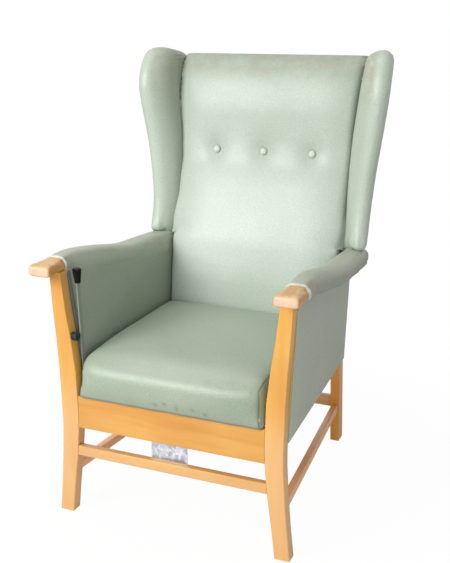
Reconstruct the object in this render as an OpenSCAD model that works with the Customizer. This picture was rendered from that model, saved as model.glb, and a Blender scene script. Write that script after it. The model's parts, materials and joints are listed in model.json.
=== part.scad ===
// Fireside chair with wings, a lift seat, padded arms and a buttoned back.
// Millimetres. The floor is z zero, the sitter faces minus Y, left is minus X.

/* [Frame] */
// half the clear width between the front posts at the seat rail
rail_half = 251.5; // [246:0.5:256]
// height of the front posts up to the underside of the arms
post_h = 655; // [645:1:662]
// width of a front post at its widest place, beside the seat rail
post_w = 47.2; // [44:0.2:50]
// depth of a front post from front to back
post_d = 32; // [30:0.5:34]
// how far the foot of a front post stands out past its inner knee
foot_splay = 28.8; // [24:0.2:32]
// how far the outer edge of that foot stands out past its knee
foot_flare = 20.8; // [17:0.2:23]
// thickness of the front rail and of the front stretcher
rail_t = 23; // [20:0.5:25]
// height of the front rail's lower edge above the floor
rail_low = 247.5; // [240:0.5:254]
// depth of the front rail from edge to edge
rail_h = 86.5; // [84:0.5:89]
// height of the front stretcher's lower edge
stretcher_low = 169; // [160:1:176]
// depth of the front stretcher from edge to edge
stretcher_h = 27; // [24:0.5:30]
// thickness of the front stretcher
stretcher_t = 18; // [15:0.5:21]
// height of a side stretcher's lower edge at the front leg
side_stretcher_low = 107; // [100:1:114]
// depth of a side stretcher from edge to edge
side_stretcher_h = 22; // [20:0.5:25]
// thickness of a side stretcher
side_stretcher_t = 19; // [17:0.5:21]
// height of the rear stretcher's lower edge
rear_stretcher_low = 112; // [106:1:118]
// depth of the rear stretcher from edge to edge
rear_stretcher_h = 32; // [28:0.5:36]
// distance of a rear leg's outer face from the centre
rear_half = 252; // [249:0.5:254]
// width of a rear leg, seen from the front
rear_leg_w = 26; // [24:0.5:28]
// depth of a rear leg, seen from the side
rear_leg_d = 41; // [38:0.5:44]
// where the front of a rear leg meets the floor
rear_foot_y = 672; // [666:1:676]
// how far a rear leg comes forward for each unit of height
rear_rake = 0.103; // [0.09:0.001:0.11]

/* [Arms] */
// how far the bare wooden arm end stands out in front of the post
nose_out = 48; // [40:1:54]
// width of the bare wooden arm end
nose_w = 57; // [53:1:60]
// height of the arm end's front face
nose_face_h = 22; // [19:0.5:25]
// full height of the arm end where the padding starts
nose_h = 47; // [44:0.5:49]
// how far the arm drops from front to back
arm_drop = 62; // [56:1:66]
// thickness of the wooden arm under its padding
arm_core_t = 24; // [22:0.5:26]
// height of the padded arm at its middle, wood and padding
arm_pad_h = 42; // [40:0.5:44]
// how far a padded arm bulges out past the bare arm end
arm_bulge = 5; // [2:0.5:7]
// thickness of the wadding on the side of a wooden arm
arm_wad = 7; // [5:0.5:8]

/* [Sides] */
// thickness of the outer side cover
cover_t = 3; // [2.5:0.5:4]
// thickness of the side board
side_board_t = 6; // [5:0.5:7]
// thickness of a side rail
side_rail_t = 28; // [27:0.5:29]
// depth of a side rail from edge to edge
side_rail_h = 40; // [37:0.5:42]
// height of the side cover's lower edge at the front post
side_low = 296; // [292:1:300]
// how far that lower edge drops towards the back
side_fall = 28; // [24:1:32]

/* [Seat] */
// height of the seat above the floor at its middle
seat_h = 459; // [454:1:463]
// half the width of the seat cushion
cushion_half = 246; // [243:0.5:246.4]
// depth of the seat cushion from front to back
cushion_deep = 515.6; // [510:0.2:515.6]
// how much the cushion's top is domed
cushion_crown = 14; // [10:0.5:18]
// thickness of the seat board
seat_board_t = 18; // [16:0.5:20]
// half the width of the seat board
seat_board_half = 238; // [234:1:240]
// radius of the seat hinge knuckles
knuckle_r = 4; // [3.8:0.1:4.2]
// length of the seat hinge
hinge_len = 364; // [340:1:400]
// thickness of a hinge leaf
leaf_t = 2; // [1.6:0.1:2.2]
// radius of a seat hinge pin
hinge_pin_r = 2; // [1.8:0.1:2.2]

/* [Back] */
// height of the top of the back
back_top = 1148; // [1143:1:1152]
// where the rear of the back stands at its reference height
back_rear_y = 757; // [753:1:760]
// how far the back leans for each unit of height
back_lean = 0.23; // [0.225:0.001:0.234]
// thickness of a back upright from front to back
upright_d = 35; // [33:0.5:37]
// width of a back upright
upright_w = 26; // [24:0.5:28]
// thickness of the outer back cover
back_cover_t = 4; // [3.5:0.5:5]
// thickness of the board behind the back padding
back_board_t = 4; // [3:0.5:5]
// gap between the back padding and a wing
wing_gap = 2; // [1.5:0.1:4]
// radius of a back button
button_r = 10.5; // [9.5:0.5:11.5]
// distance of the outer buttons from the centre
button_gap = 146; // [140:1:150]
// how far the row of buttons is below the top of the back
button_drop = 269; // [262:1:276]
// depth of the dimple that a button draws in
dimple = 11; // [8:0.5:13]

/* [Wings] */
// radius of a wing's rolled front edge where the wing is narrowest
wing_r = 22; // [20:0.5:23]
// distance of that rolled edge's middle from the centre where it is narrowest
wing_in = 306.5; // [304:0.5:309]
// how much further out a wing's front edge stands at its top
wing_flare = 37; // [33:0.5:40]
// how much larger the radius of the front edge is at the top
wing_swell = 4; // [2:0.5:6]
// distance of a wing's inner face from the centre where it leaves the back padding
wing_root = 268.5; // [266:0.5:270]
// how much further out that inner face stands at the top
root_flare = 10; // [7:0.5:11]
// distance of a wing's outer rear edge from the centre at its foot
wing_heel = 309; // [306:0.5:312]
// how much further out that rear edge stands at the top
heel_flare = 26; // [23:0.5:28]
// how far a wing stands up past the top of the back
wing_rise = 17; // [13:1:21]
// thickness of the board inside a wing
wing_board_t = 12; // [10:0.5:13]

/* [Lever and lift] */
// height of the lever's shaft above the floor
shaft_z = 300; // [297:1:303]
// radius of the lever's shaft
shaft_r = 5; // [4.5:0.1:5.2]
// length of the lever bar from its shaft to the knob
lever_len = 328; // [318:1:334]
// width of the lever bar
lever_w = 12; // [10:0.5:13]
// thickness of the lever bar
lever_t = 3; // [2.6:0.1:3.2]
// length of the lever's knob
knob_len = 38; // [34:1:42]
// largest radius of the lever's knob
knob_r = 11.5; // [10:0.5:12]
// radius of the rubber buffer on the left post
buffer_r = 10.5; // [9:0.5:11]
// width of the zinc plate under the front rail
plate_w = 98; // [92:1:104]
// thickness of that plate
plate_t = 2; // [1.6:0.2:2.4]
// radius of the gas strut's tube
tube_r = 11; // [10:0.5:12]
// radius of the gas strut's rod
rod_r = 5; // [4.5:0.1:5.2]
// radius of the strut's two cross pins
strut_pin_r = 4; // [3.6:0.1:4.2]

/* [Hidden] */
$fn = 48;
// running clearance of a pin in its hole
run = 0.05;
// gap between pieces that only lie side by side
gap = 0.3;
// overrun of every cut
over = 1;
small = 0.5;

// frame
front_y = 6;
post_back = front_y + post_d;
rail_y = front_y + over;
post_z_shares = [0, 0.122, 0.244, 0.366, 0.427, 0.489, 0.611, 0.733, 0.855, 1];
post_in_shares = [1, 0.677, 0.29, 0.035, 0, 0.007, 0.073, 0.385, 0.8, 1.16];
post_out_shares = [1, 0.59, 0.255, 0.024, 0, 0.04, 0.11, 0.31, 0.59, 0.83];
rail_top = rail_low + rail_h;
rail_back = rail_y + rail_t;
knee_mid = rail_half + post_w / 2;
rear_mid = rear_half - rear_leg_w / 2;
leg_top = post_h - arm_drop + over;
knee_z = 300;
leg_flare = 0.0533;
side_stretcher_y = post_d * 1.2;
stretcher_front_x = knee_mid + foot_splay * 0.35;

// arms: stations from the nose back to the tail
nose_y = front_y - nose_out;
nose_set = 0.9;
nose_in = rail_half + foot_splay * post_in_shares[9] - nose_set;
arm_out = nose_in + nose_w + arm_bulge;
tail_over = 20.2;
tail_y = rear_foot_y - rear_rake * leg_top + rear_leg_d + tail_over;
arm_len = tail_y - nose_y;
// reach of every cut that has to pass right through
wide = (arm_out + rear_foot_y + rear_leg_d) * 0.4;
arm_y_shares = [0, 0.112, 0.199, 0.311, 0.423, 0.542, 0.699, 0.871, 1];
arm_drop_shares = [0, 0, 0.11, 0.3, 0.52, 0.7, 0.84, 0.95, 1];
arm_out_shares = [0.985, 0.988, 0.997, 1, 1.002, 1, 0.991, 0.978, 0.86];
arm_in_shares = [0.821, 0.815, 0.795, 0.775, 0.764, 0.757, 0.751, 0.748, 0.748];
pad_y = -3;
pad_rake = 1.13;
tail_clear = 2.3;

// sides: a flat panel that leans out and draws in towards the back
panel_x = rail_half + post_w + small;
panel_z = side_low - side_fall;
panel_turn = 3.86;
panel_lean = 2.86;
panel_draw = 0.0675;
board_in = cover_t + side_board_t;
inner_face = rail_half + over;
inner_set = 4;
inner_top_front = nose_in - inner_set;
inner_top_back = inner_face + inner_set;
inner_low = 345;
inner_r = 6;
inner_end = rear_foot_y - rear_rake * leg_top - inner_r - over;
seat_line = 445;

// seat
hinge_in = 7;
hinge_y = rail_y + hinge_in;
hinge_z = rail_top + knuckle_r;
board_low = hinge_z + knuckle_r;
board_top = board_low + seat_board_t;
board_front = hinge_y + knuckle_r + leaf_t;
board_set = 7.6;
board_deep = cushion_deep - board_front - board_set;
leaf_w = 32;
cushion_front = -1;
lip_t = 5;
lip_low = hinge_z + over;
vent_r = 16;
vent_x_share = 0.46;
vent_y_shares = [0.27, 0.7];
// rings of the cushion from the bottom up: inset, corner and height shares
cushion_inset_shares = [0, 0, 0, 0.003, 0.012, 0.03, 0.061, 0.13, 0.252, 0.427, 0.67, 0.915];
cushion_corner_shares = [0.075, 0.075, 0.075, 0.077, 0.082, 0.1, 0.12, 0.16, 0.2, 0.25, 0.2, 0.06];
// the front edge is rounder than the other three
front_round_share = 1.8;
cushion_rise_shares = [0, 0.06, 0.36, 0.76, 0.87, 0.95, 1];
cushion_dome_shares = [0, 0.38, 0.68, 0.88, 0.98, 1];
knuckle_count = 7;
rest_in = 30;
rest_y = board_front + board_deep - rest_in;
rest_t = 22;
rest_h = 40;
rest_pad_h = 2.4;
rest_pad_r = 10;
rest_pad_x = seat_board_half * 0.8;

// back
back_ref = 1060;
frame_low = 272;
roll_h = 24;
frame_top = back_top - roll_h;
button_z = back_top - button_drop;
upright_set = 23.7;
upright_low_half = rear_half - upright_set;
upright_spread = 0.044;
tail_in = upright_low_half + upright_spread * (leg_top - knee_z) + tail_clear;
pad_low = 375.4;
// level where the back widens above the arms, and the foot and top of a wing
shelf_gap = 7.9;
shelf_z = post_h - arm_drop + arm_pad_h + shelf_gap;
foot_sink = 6;
wing_foot = post_h - arm_drop + arm_pad_h - foot_sink;
wing_top = back_top + wing_rise;
board_rear_gap = back_cover_t + upright_d;
pad_gap = board_rear_gap + back_board_t;
back_rail_h = 40;
mid_rail_z = 640;
low_rail_z = 320;
cover_drop = 9;
cover_top = back_top - cover_drop;
cover_low = 300;

// lever and strut
shaft_out = 16;
shaft_y = rail_back + shaft_out;
buffer_z = 490;
lever_x = -cushion_half - over - gap;
buffer_in = over * 2 - lever_x;
lever_tilt = 2.95;
strut_out = 18;
strut_y = rail_back + strut_out;
strut_z = 215;
strut_top_y = 180;
top_drop = 13.5;
strut_top_z = board_low - top_drop;
strut_dy = strut_top_y - strut_y;
strut_dz = strut_top_z - strut_z;
strut_len = sqrt(strut_dy * strut_dy + strut_dz * strut_dz);
strut_turn = atan2(strut_dz, strut_dy);
eye_r = 9;
eye_half = 9;
lug_t = 3;
top_play = 1.6;
bracket_half = 16;
tube_len = 118;
tube_start = 15;
rod_start = 34;
plate_tail = 29;
plate_low = strut_z - plate_tail;
plate_drop = 12;
plate_top = rail_top - plate_drop;
plate_mid = -8;

// the whole chair stands with its box's middle over the origin
rear_most = back_rear_y + back_lean * (cover_top - back_ref);
mid_y = (nose_y + rear_most) / 2;

function at(zs, vs, t) = lookup(t, [for (i = [0 : len(zs) - 1]) [zs[i], vs[i]]]);
function back_y(z) = back_rear_y + back_lean * (z - back_ref);
function arm_low(y) = post_h - arm_drop * at(arm_y_shares, arm_drop_shares, (y - nose_y) / arm_len);
function arm_outer(y) = arm_out * at(arm_y_shares, arm_out_shares, (y - nose_y) / arm_len);
function arm_inner(y) = arm_out * at(arm_y_shares, arm_in_shares, (y - nose_y) / arm_len);
function leg_y(z) = rear_foot_y - rear_rake * z;

module along_x(x0, x1) {
    translate([x0, 0, 0])
        rotate([90, 0, 90])
            linear_extrude(height = x1 - x0)
                children();
}

module along_y(y0, y1) {
    translate([0, y1, 0])
        rotate([90, 0, 0])
            linear_extrude(height = y1 - y0)
                children();
}

module block(x0, x1, y0, y1, z0, z1) {
    translate([x0, y0, z0])
        cube([x1 - x0, y1 - y0, z1 - z0]);
}

module rod_x(x0, x1, y, z, r) {
    translate([x0, y, z])
        rotate([0, 90, 0])
            cylinder(r = r, h = x1 - x0);
}

module left() {
    mirror([1, 0, 0])
        children();
}

module place() {
    translate([0, -mid_y, 0])
        children();
}

// a closed skin over a stack of rings that all have the same number of points
module loft(rings) {
    n = len(rings[0]);
    m = len(rings);
    pts = [for (r = rings) for (p = r) p];
    side = [for (j = [0 : m - 2]) for (i = [0 : n - 1])
        let (a = j * n + i, b = j * n + (i + 1) % n, c = a + n, d = b + n)
        each [[a, b, d], [a, d, c]]];
    low_mid = [for (k = [0 : 2]) [for (p = rings[0]) p[k]] * [for (p = rings[0]) 1] / n];
    top_mid = [for (k = [0 : 2]) [for (p = rings[m - 1]) p[k]] * [for (p = rings[0]) 1] / n];
    low = [for (i = [0 : n - 1]) [m * n, (i + 1) % n, i]];
    top = [for (i = [0 : n - 1]) [m * n + 1, (m - 1) * n + i, (m - 1) * n + (i + 1) % n]];
    polyhedron(
        points = concat(pts, [low_mid, top_mid]),
        faces = [for (f = concat(side, low, top)) [f[2], f[1], f[0]]]);
}

// wooden frame

module post_shape() {
    n = len(post_z_shares) - 1;
    inner = [for (i = [0 : n]) [rail_half + foot_splay * post_in_shares[i], post_h * post_z_shares[i]]];
    outer = [for (i = [n : -1 : 0])
        [rail_half + post_w + foot_flare * post_out_shares[i], post_h * post_z_shares[i]]];
    polygon(concat(inner, outer));
}

module post() {
    along_y(front_y, post_back)
        post_shape();
}

module rear_leg_blank() {
    half = rear_half;
    top_half = half + leg_flare * (leg_top - knee_z);
    intersection() {
        along_x(0, wide)
            polygon([
                [rear_foot_y, 0],
                [rear_foot_y + rear_leg_d, 0],
                [leg_y(leg_top) + rear_leg_d, leg_top],
                [leg_y(leg_top), leg_top]]);
        along_y(0, wide * 2)
            polygon([
                [half - rear_leg_w, 0],
                [half, 0],
                [half, knee_z],
                [top_half, leg_top],
                [top_half - rear_leg_w, leg_top],
                [half - rear_leg_w, knee_z]]);
    }
}

module front_leg_right() {
    color("BurlyWood")
        post();
}

module front_leg_left() {
    color("BurlyWood")
        left()
            post();
}

module rear_leg() {
    difference() {
        rear_leg_blank();
        arm_wood();
        upright();
        outer_back_shape();
    }
}

module rear_leg_right() {
    color("BurlyWood")
        rear_leg();
}

module rear_leg_left() {
    color("BurlyWood")
        left()
            rear_leg();
}

module between_posts(y0, y1, z0, z1) {
    reach = rail_half + foot_splay;
    difference() {
        block(-reach, reach, y0, y1, z0, z1);
        post();
        left()
            post();
        block(rail_half + post_w / 2, wide, y0 - over, y1 + over, z0 - over, z1 + over);
        block(-wide, -rail_half - post_w / 2, y0 - over, y1 + over, z0 - over, z1 + over);
    }
}

module front_rail() {
    color("BurlyWood")
        between_posts(rail_y, rail_back, rail_low, rail_top);
}

module front_stretcher() {
    color("BurlyWood")
        between_posts(rail_y, rail_y + stretcher_t, stretcher_low, stretcher_low + stretcher_h);
}

module side_stretcher() {
    rear_x = rear_mid;
    dy = leg_y(side_stretcher_low) - post_back;
    turn = atan2(stretcher_front_x - rear_x, dy);
    difference() {
        translate([stretcher_front_x, post_back, side_stretcher_low])
            rotate([-small, 0, turn])
                translate([-side_stretcher_t / 2, -side_stretcher_y / 2, 0])
                    cube([side_stretcher_t, dy + side_stretcher_y, side_stretcher_h]);
        block(0, wide, -wide, post_back, 0, wide);
        translate([0, rear_leg_d / 2, 0])
            rear_leg_blank();
        rear_leg_blank();
    }
}

module side_stretcher_right() {
    color("BurlyWood")
        side_stretcher();
}

module side_stretcher_left() {
    color("BurlyWood")
        left()
            side_stretcher();
}

module between_rear_legs(y0, y1, z0, z1) {
    block(rear_leg_w - rear_half, rear_half - rear_leg_w, y0, y1, z0, z1);
}

module rear_stretcher() {
    y = leg_y(rear_stretcher_low) + rear_leg_d / 4;
    color("BurlyWood")
        between_rear_legs(y, y + rear_leg_d / 2, rear_stretcher_low, rear_stretcher_low + rear_stretcher_h);
}

module rear_rail() {
    y = leg_y(panel_z) + rear_leg_d / 4;
    color("BurlyWood")
        between_rear_legs(y, y + rear_leg_d / 2, panel_z, panel_z + side_rail_h);
}

module on_side() {
    translate([panel_x, post_back, panel_z])
        rotate([0, panel_lean, panel_turn])
            children();
}

module side_slab(t0, t1) {
    on_side()
        block(-t1, -t0, -wide / 8, wide * 2, -wide / 8, wide);
}

// lower edge of the side, falling from the front post to the rear leg
function side_edge(y) = side_low - side_fall * (y - post_back) / (rear_foot_y - post_back);

module side_rail() {
    y1 = leg_y(panel_z) - small;
    difference() {
        intersection() {
            side_slab(board_in, board_in + side_rail_t);
            along_x(0, wide)
                polygon([
                    [post_back, side_edge(post_back)],
                    [y1, side_edge(y1)],
                    [y1 - rear_rake * side_rail_h, side_edge(y1) + side_rail_h],
                    [post_back, side_edge(post_back) + side_rail_h]]);
        }
        rear_leg_blank();
        upright();
        outer_back_shape();
    }
}

module side_rail_right() {
    color("BurlyWood")
        side_rail();
}

module side_rail_left() {
    color("BurlyWood")
        left()
            side_rail();
}

module corner_block() {
    size = rest_h;
    z0 = rail_low + over * 4;
    x1 = panel_x - board_in - side_rail_t + over;
    difference() {
        translate([0, 0, z0])
            linear_extrude(height = size - over * 4)
                polygon([
                    [x1 - size, rail_back],
                    [x1 + size / 4, rail_back],
                    [x1 + size / 4, rail_back + size * 1.2]]);
        side_slab(0, board_in + side_rail_t);
        post();
        side_slab(-wide / 8, board_in + side_rail_t);
    }
}

module corner_block_right() {
    color("Wheat")
        corner_block();
}

module corner_block_left() {
    color("Wheat")
        left()
            corner_block();
}

// arms

module arm_plan(inset) {
    ys = [for (s = arm_y_shares) nose_y + arm_len * s];
    n = len(ys) - 2;
    outer = [for (i = [1 : n]) [arm_outer(ys[i]) - inset, ys[i]]];
    inner = [for (i = [n : -1 : 1]) [arm_inner(ys[i]) + inset, ys[i]]];
    round_y = tail_y - rear_leg_d;
    polygon(concat(
        [[arm_outer(pad_y) - inset, pad_y]],
        outer,
        [[arm_out * 0.965 - inset, round_y]],
        [[arm_out * 0.925 - inset, tail_y - inset * 2]],
        [[arm_out * 0.86 - inset, tail_y - inset]],
        [[tail_in, tail_y - inset]],
        [[tail_in, leg_y(leg_top) + over * 4]],
        [[arm_inner(ys[n]) + inset, leg_y(leg_top) - over]],
        inner,
        [[arm_inner(pad_y) + inset, pad_y]]));
}

module arm_side(lower, t) {
    ys = [for (s = arm_y_shares) nose_y + arm_len * s];
    n = len(ys) - 1;
    low = [for (i = [1 : n]) [ys[i], arm_low(ys[i]) - lower]];
    top = [for (i = [n : -1 : 2]) [ys[i], arm_low(ys[i]) + t]];
    front = [[pad_y + nose_h, post_h + t], [pad_y, post_h + nose_h]];
    polygon(concat([[pad_y, post_h - lower]], low, top, front));
}

module nose_side(lower) {
    polygon([
        [nose_y, post_h - lower],
        [nose_y, post_h + nose_face_h * 0.86],
        [nose_y + nose_face_h * 0.18, post_h + nose_face_h * 1.09],
        [pad_y, post_h + nose_h],
        [pad_y + pad_rake * (nose_h + lower), post_h - lower]]);
}

module nose(lower) {
    corner = nose_w / 5;
    intersection() {
        along_x(nose_in, nose_in + nose_w)
            nose_side(lower);
        translate([0, 0, post_h - over * 2])
            linear_extrude(height = nose_h * 2)
                polygon([
                    [nose_in + corner, nose_y],
                    [nose_in + nose_w - corner, nose_y],
                    [nose_in + nose_w - corner / 4, nose_y + corner / 2],
                    [nose_in + nose_w, nose_y + corner * 1.5],
                    [nose_in + nose_w, nose_y + nose_w * 2],
                    [nose_in, nose_y + nose_w * 2],
                    [nose_in, nose_y + corner * 1.5],
                    [nose_in + corner / 4, nose_y + corner / 2]]);
    }
}

module arm_wood_shape(lower) {
    union() {
        nose(lower);
        intersection() {
            along_x(0, wide)
                arm_side(lower, arm_core_t);
            translate([0, 0, post_h - arm_drop - wide / 8])
                linear_extrude(height = wide / 2)
                    arm_plan(arm_wad);
        }
    }
}

module arm_wood() {
    arm_wood_shape(0);
}

module arm_rail_right() {
    color("Peru")
        arm_wood();
}

module arm_rail_left() {
    color("Peru")
        left()
            arm_wood();
}

pad_turn_steps = 16;

function pad_ring(y, h, lift, shear, s) = [for (i = [0 : pad_turn_steps])
    let (
        a = 180 * i / pad_turn_steps,
        xm = (arm_outer(y) + arm_inner(y)) / 2,
        hw = (arm_outer(y) - arm_inner(y)) / 2,
        cx = cos(a),
        sx = sin(a),
        px = xm + hw * s * sign(cx) * pow(abs(cx), 0.55),
        pz = arm_low(y) + lift + (h - lift) * pow(sx, 0.6))
    [px, y + shear * (arm_low(y) + h - pz), pz]];

pad_front_y_shares = [0, 0.3, 1.06];
pad_front_lean_shares = [1, 0.85, 0.27];
pad_mid_h_shares = [1, 1.024, 1.024, 1, 0.952, 0.905];
pad_tail_y_shares = [0.3, 0.565, 0.783, 0.913];
pad_tail_h_shares = [0.905, 0.857, 0.786, 0.714];
pad_tail_w_shares = [1, 0.98, 0.93, 0.85];

module arm_pad_shape() {
    ys = [for (s = arm_y_shares) nose_y + arm_len * s];
    h = arm_pad_h;
    difference() {
        loft(concat(
            [for (i = [0 : 2])
                pad_ring(
                    pad_y + nose_h * pad_front_y_shares[i],
                    nose_h,
                    0,
                    pad_rake * pad_front_lean_shares[i],
                    1)],
            [for (i = [0 : 5])
                pad_ring(ys[i + 2], h * pad_mid_h_shares[i], 0, 0, 1)],
            [for (i = [0 : 3])
                pad_ring(
                    ys[7] + (tail_y - ys[7]) * pad_tail_y_shares[i],
                    h * pad_tail_h_shares[i],
                    0,
                    0,
                    pad_tail_w_shares[i])]));
        arm_wood_shape(over);
        block(0, arm_out * 0.735, leg_y(leg_top) - over, wide * 2, 0, wide * 2);
    }
}

module arm_pad_right() {
    color("DarkSeaGreen")
        arm_pad_shape();
}

module arm_pad_left() {
    color("DarkSeaGreen")
        left()
            arm_pad_shape();
}

// upholstered sides

module side_zone(y0, z_drop, rear_in) {
    ys = [for (s = arm_y_shares) nose_y + arm_len * s];
    y1 = leg_y(panel_z) + rear_leg_d - rear_in;
    y2 = leg_y(leg_top) + rear_leg_d - rear_in;
    top = [for (i = [7 : -1 : 2]) [ys[i], arm_low(ys[i]) - z_drop]];
    along_x(0, wide)
        polygon(concat(
            [[y0, side_edge(y0)]],
            [[y1, side_edge(y1)]],
            [[y2, arm_low(y2) - z_drop]],
            top,
            [[y0, arm_low(y0) - z_drop]]));
}

module side_cover() {
    intersection() {
        side_slab(0, cover_t);
        side_zone(post_back, gap, 0);
    }
}

module side_cover_right() {
    color("DarkSeaGreen")
        side_cover();
}

module side_cover_left() {
    color("DarkSeaGreen")
        left()
            side_cover();
}

module side_board() {
    difference() {
        intersection() {
            side_slab(cover_t, board_in);
            side_zone(post_back, gap, rear_leg_d + small);
        }
        rear_leg_blank();
    }
}

module side_board_right() {
    color("Wheat")
        side_board();
}

module side_board_left() {
    color("Wheat")
        left()
            side_board();
}

module inner_pad() {
    y0 = post_back + inner_r + gap;
    y1 = inner_end - inner_r;
    x_out = panel_x;
    difference() {
        intersection() {
            hull() {
                for (y = [y0, y1])
                    for (z = [inner_low + inner_r, seat_line])
                        translate([inner_face + inner_r, y, z])
                            sphere(r = inner_r, $fn = 16);
                translate([inner_top_front + inner_r, y0, post_h - inner_r])
                    sphere(r = inner_r, $fn = 16);
                translate([inner_top_back + inner_r, y1, post_h - inner_r])
                    sphere(r = inner_r, $fn = 16);
                for (z = [inner_low + inner_r, post_h - inner_r])
                    for (y = [y0, y1])
                        translate([x_out, y, z])
                            sphere(r = inner_r, $fn = 16);
            }
            side_zone(0, gap, 0);
        }
        side_slab(-wide / 8, board_in);
        post();
        side_rail();
        arm_pad_shape();
    }
}

module inner_pad_right() {
    color("DarkSeaGreen")
        inner_pad();
}

module inner_pad_left() {
    color("DarkSeaGreen")
        left()
            inner_pad();
}

// back

module lean_strip(z0, z1, near, far) {
    polygon([
        [back_y(z0) - far, z0],
        [back_y(z0) - near, z0],
        [back_y(z1) - near, z1],
        [back_y(z1) - far, z1]]);
}

module upright() {
    low_x = upright_low_half + upright_spread * (frame_low - knee_z);
    top_x = upright_low_half + upright_spread * (frame_top - knee_z);
    intersection() {
        along_x(0, wide)
            lean_strip(frame_low, frame_top, back_cover_t, board_rear_gap);
        along_y(0, wide * 3)
            polygon([
                [low_x - upright_w, frame_low],
                [low_x, frame_low],
                [top_x, frame_top],
                [top_x - upright_w, frame_top]]);
    }
}

module back_upright_right() {
    color("Wheat")
        upright();
}

module back_upright_left() {
    color("Wheat")
        left()
            upright();
}

function upright_out(z) = upright_low_half + upright_spread * (z - knee_z);
function upright_in(z) = upright_out(z) - upright_w;

module back_cross(z0) {
    z1 = z0 + back_rail_h;
    intersection() {
        along_x(-upright_in(z1), upright_in(z1))
            lean_strip(z0, z1, back_cover_t, board_rear_gap);
        along_y(0, wide * 3)
            polygon([
                [-upright_in(z0), z0],
                [upright_in(z0), z0],
                [upright_in(z1), z1],
                [-upright_in(z1), z1]]);
    }
}

module back_top_rail() {
    color("Wheat")
        back_cross(frame_top - back_rail_h);
}

module back_middle_rail() {
    color("Wheat")
        back_cross(mid_rail_z);
}

module back_lower_rail() {
    color("Wheat")
        back_cross(low_rail_z);
}

module back_board() {
    z0 = low_rail_z;
    x0 = upright_low_half + upright_spread * (z0 - knee_z);
    x1 = upright_low_half + upright_spread * (frame_top - knee_z);
    color("Wheat")
        intersection() {
            along_x(-wide, wide)
                lean_strip(z0, frame_top, board_rear_gap, pad_gap);
            along_y(0, wide * 3)
                polygon([[-x0, z0], [x0, z0], [x1, frame_top], [-x1, frame_top]]);
        }
}

// half the outer back cover's width: between the arms below, behind the wings above
function cover_half(z) = wing_outer(z);

module outer_back() {
    color("DarkSeaGreen")
        outer_back_shape();
}

module outer_back_shape() {
    step_z = wing_foot + wing_r * foot_rise_shares[2];
    low_x = upright_low_half + upright_spread * (cover_low - knee_z);
    zs = [for (s = [0 : 0.1 : 1]) step_z + (cover_top - step_z) * s];
    n = len(zs) - 1;
        intersection() {
            along_x(-wide, wide)
                lean_strip(cover_low, cover_top, 0, back_cover_t);
            along_y(0, wide * 3)
                polygon(concat(
                    [[-low_x, cover_low], [low_x, cover_low]],
                    [[upright_low_half + upright_spread * (step_z - knee_z), step_z - over]],
                    [for (i = [0 : n]) [cover_half(zs[i]), zs[i]]],
                    [for (i = [n : -1 : 0]) [-cover_half(zs[i]), zs[i]]],
                    [[-upright_low_half - upright_spread * (step_z - knee_z), step_z - over]]));
        }
}

// heights and depths of the back padding's front face, as shares
face_z_shares = [0.327, 0.348, 0.383, 0.453, 0.523, 0.557, 0.61, 0.697, 0.74, 0.784, 0.828, 0.871,
    0.923, 0.958, 0.979, 0.991, 1];
face_shares = [0, 0, 0.02, 0.065, 0.135, 0.185, 0.29, 0.475, 0.585, 0.63, 0.64, 0.655,
    0.71, 0.785, 0.84, 0.92, 1];
face_back = 241;
face_start = back_rear_y - face_back;
face_run = 214;
x_shares = [-1, -0.985, -0.95, -0.88, -0.78, -0.68, -0.61, -0.57, -0.54, -0.51, -0.47, -0.4,
    -0.28, -0.15, -0.075, -0.03, 0, 0.03, 0.075, 0.15, 0.28, 0.4, 0.47, 0.51, 0.54, 0.57,
    0.61, 0.68, 0.78, 0.88, 0.95, 0.985, 1];
low_half = rail_half - over * 1.5;
arm_half = low_half + inner_set;
// rings below the buttons, round them and above them, as shares of the height between these
low_ring_shares = [0, 0.018, 0.05, 0.134, 0.218, 0.301, 0.405, 0.509, 0.549, 0.563, 0.6, 0.676, 0.779,
    0.884, 0.968];
tuft_ring_shares = [-2.2, -1.24, -0.57, 0, 0.57, 1.24, 2.2, 3.7];
top_ring_shares = [0.158, 0.397, 0.592, 0.736, 0.881];
tuft_low = button_z + button_r * tuft_ring_shares[0];
tuft_high = button_z + button_r * tuft_ring_shares[7];
// rings that roll over the top rail, as shares of the height left above it
roll_ring_shares = [0.03, 0.33, 0.67, 0.88, 1];
// how far the face of the padding falls back at its side edges
fall_low = 20;
fall_mid = 52;
fall_high = 8;
fall_z_shares = [0.56, 0.61, 0.662, 0.714, 0.767, 1];
fall_shares = [1, 0.82, 0.54, 0.24, 0.03, 0];
fall_top = 8;
roll_deep = 62;
shank_r = 2;

function face_y(z) = face_start + face_run * at(face_z_shares, face_shares, z / back_top);
function pad_half(z) = z < seat_line ? low_half
    : z < shelf_z ? low_half + (arm_half - low_half) * (z - seat_line) / (shelf_z - seat_line)
    : wing_inner(z) - wing_gap;
function pad_fall(z) = z < shelf_z ? fall_low
    : fall_high + (fall_mid - fall_high) * at(fall_z_shares, fall_shares, z / back_top);
function bump(x, z) = 1.36 * exp(-(x * x + z * z) / pow(button_r * 1.95, 2));
function tuft(x, z) = dimple * min(1, bump(x, z - button_z) + bump(abs(x) - button_gap, z - button_z));
function pad_section(z, rear, fall) = concat(
    [for (s = x_shares) [s * pad_half(z), face_y(z) + fall * pow(abs(s), 6) + tuft(s * pad_half(z), z), z]],
    [[pad_half(z), rear, z], [0, rear, z], [-pad_half(z), rear, z]]);

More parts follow.
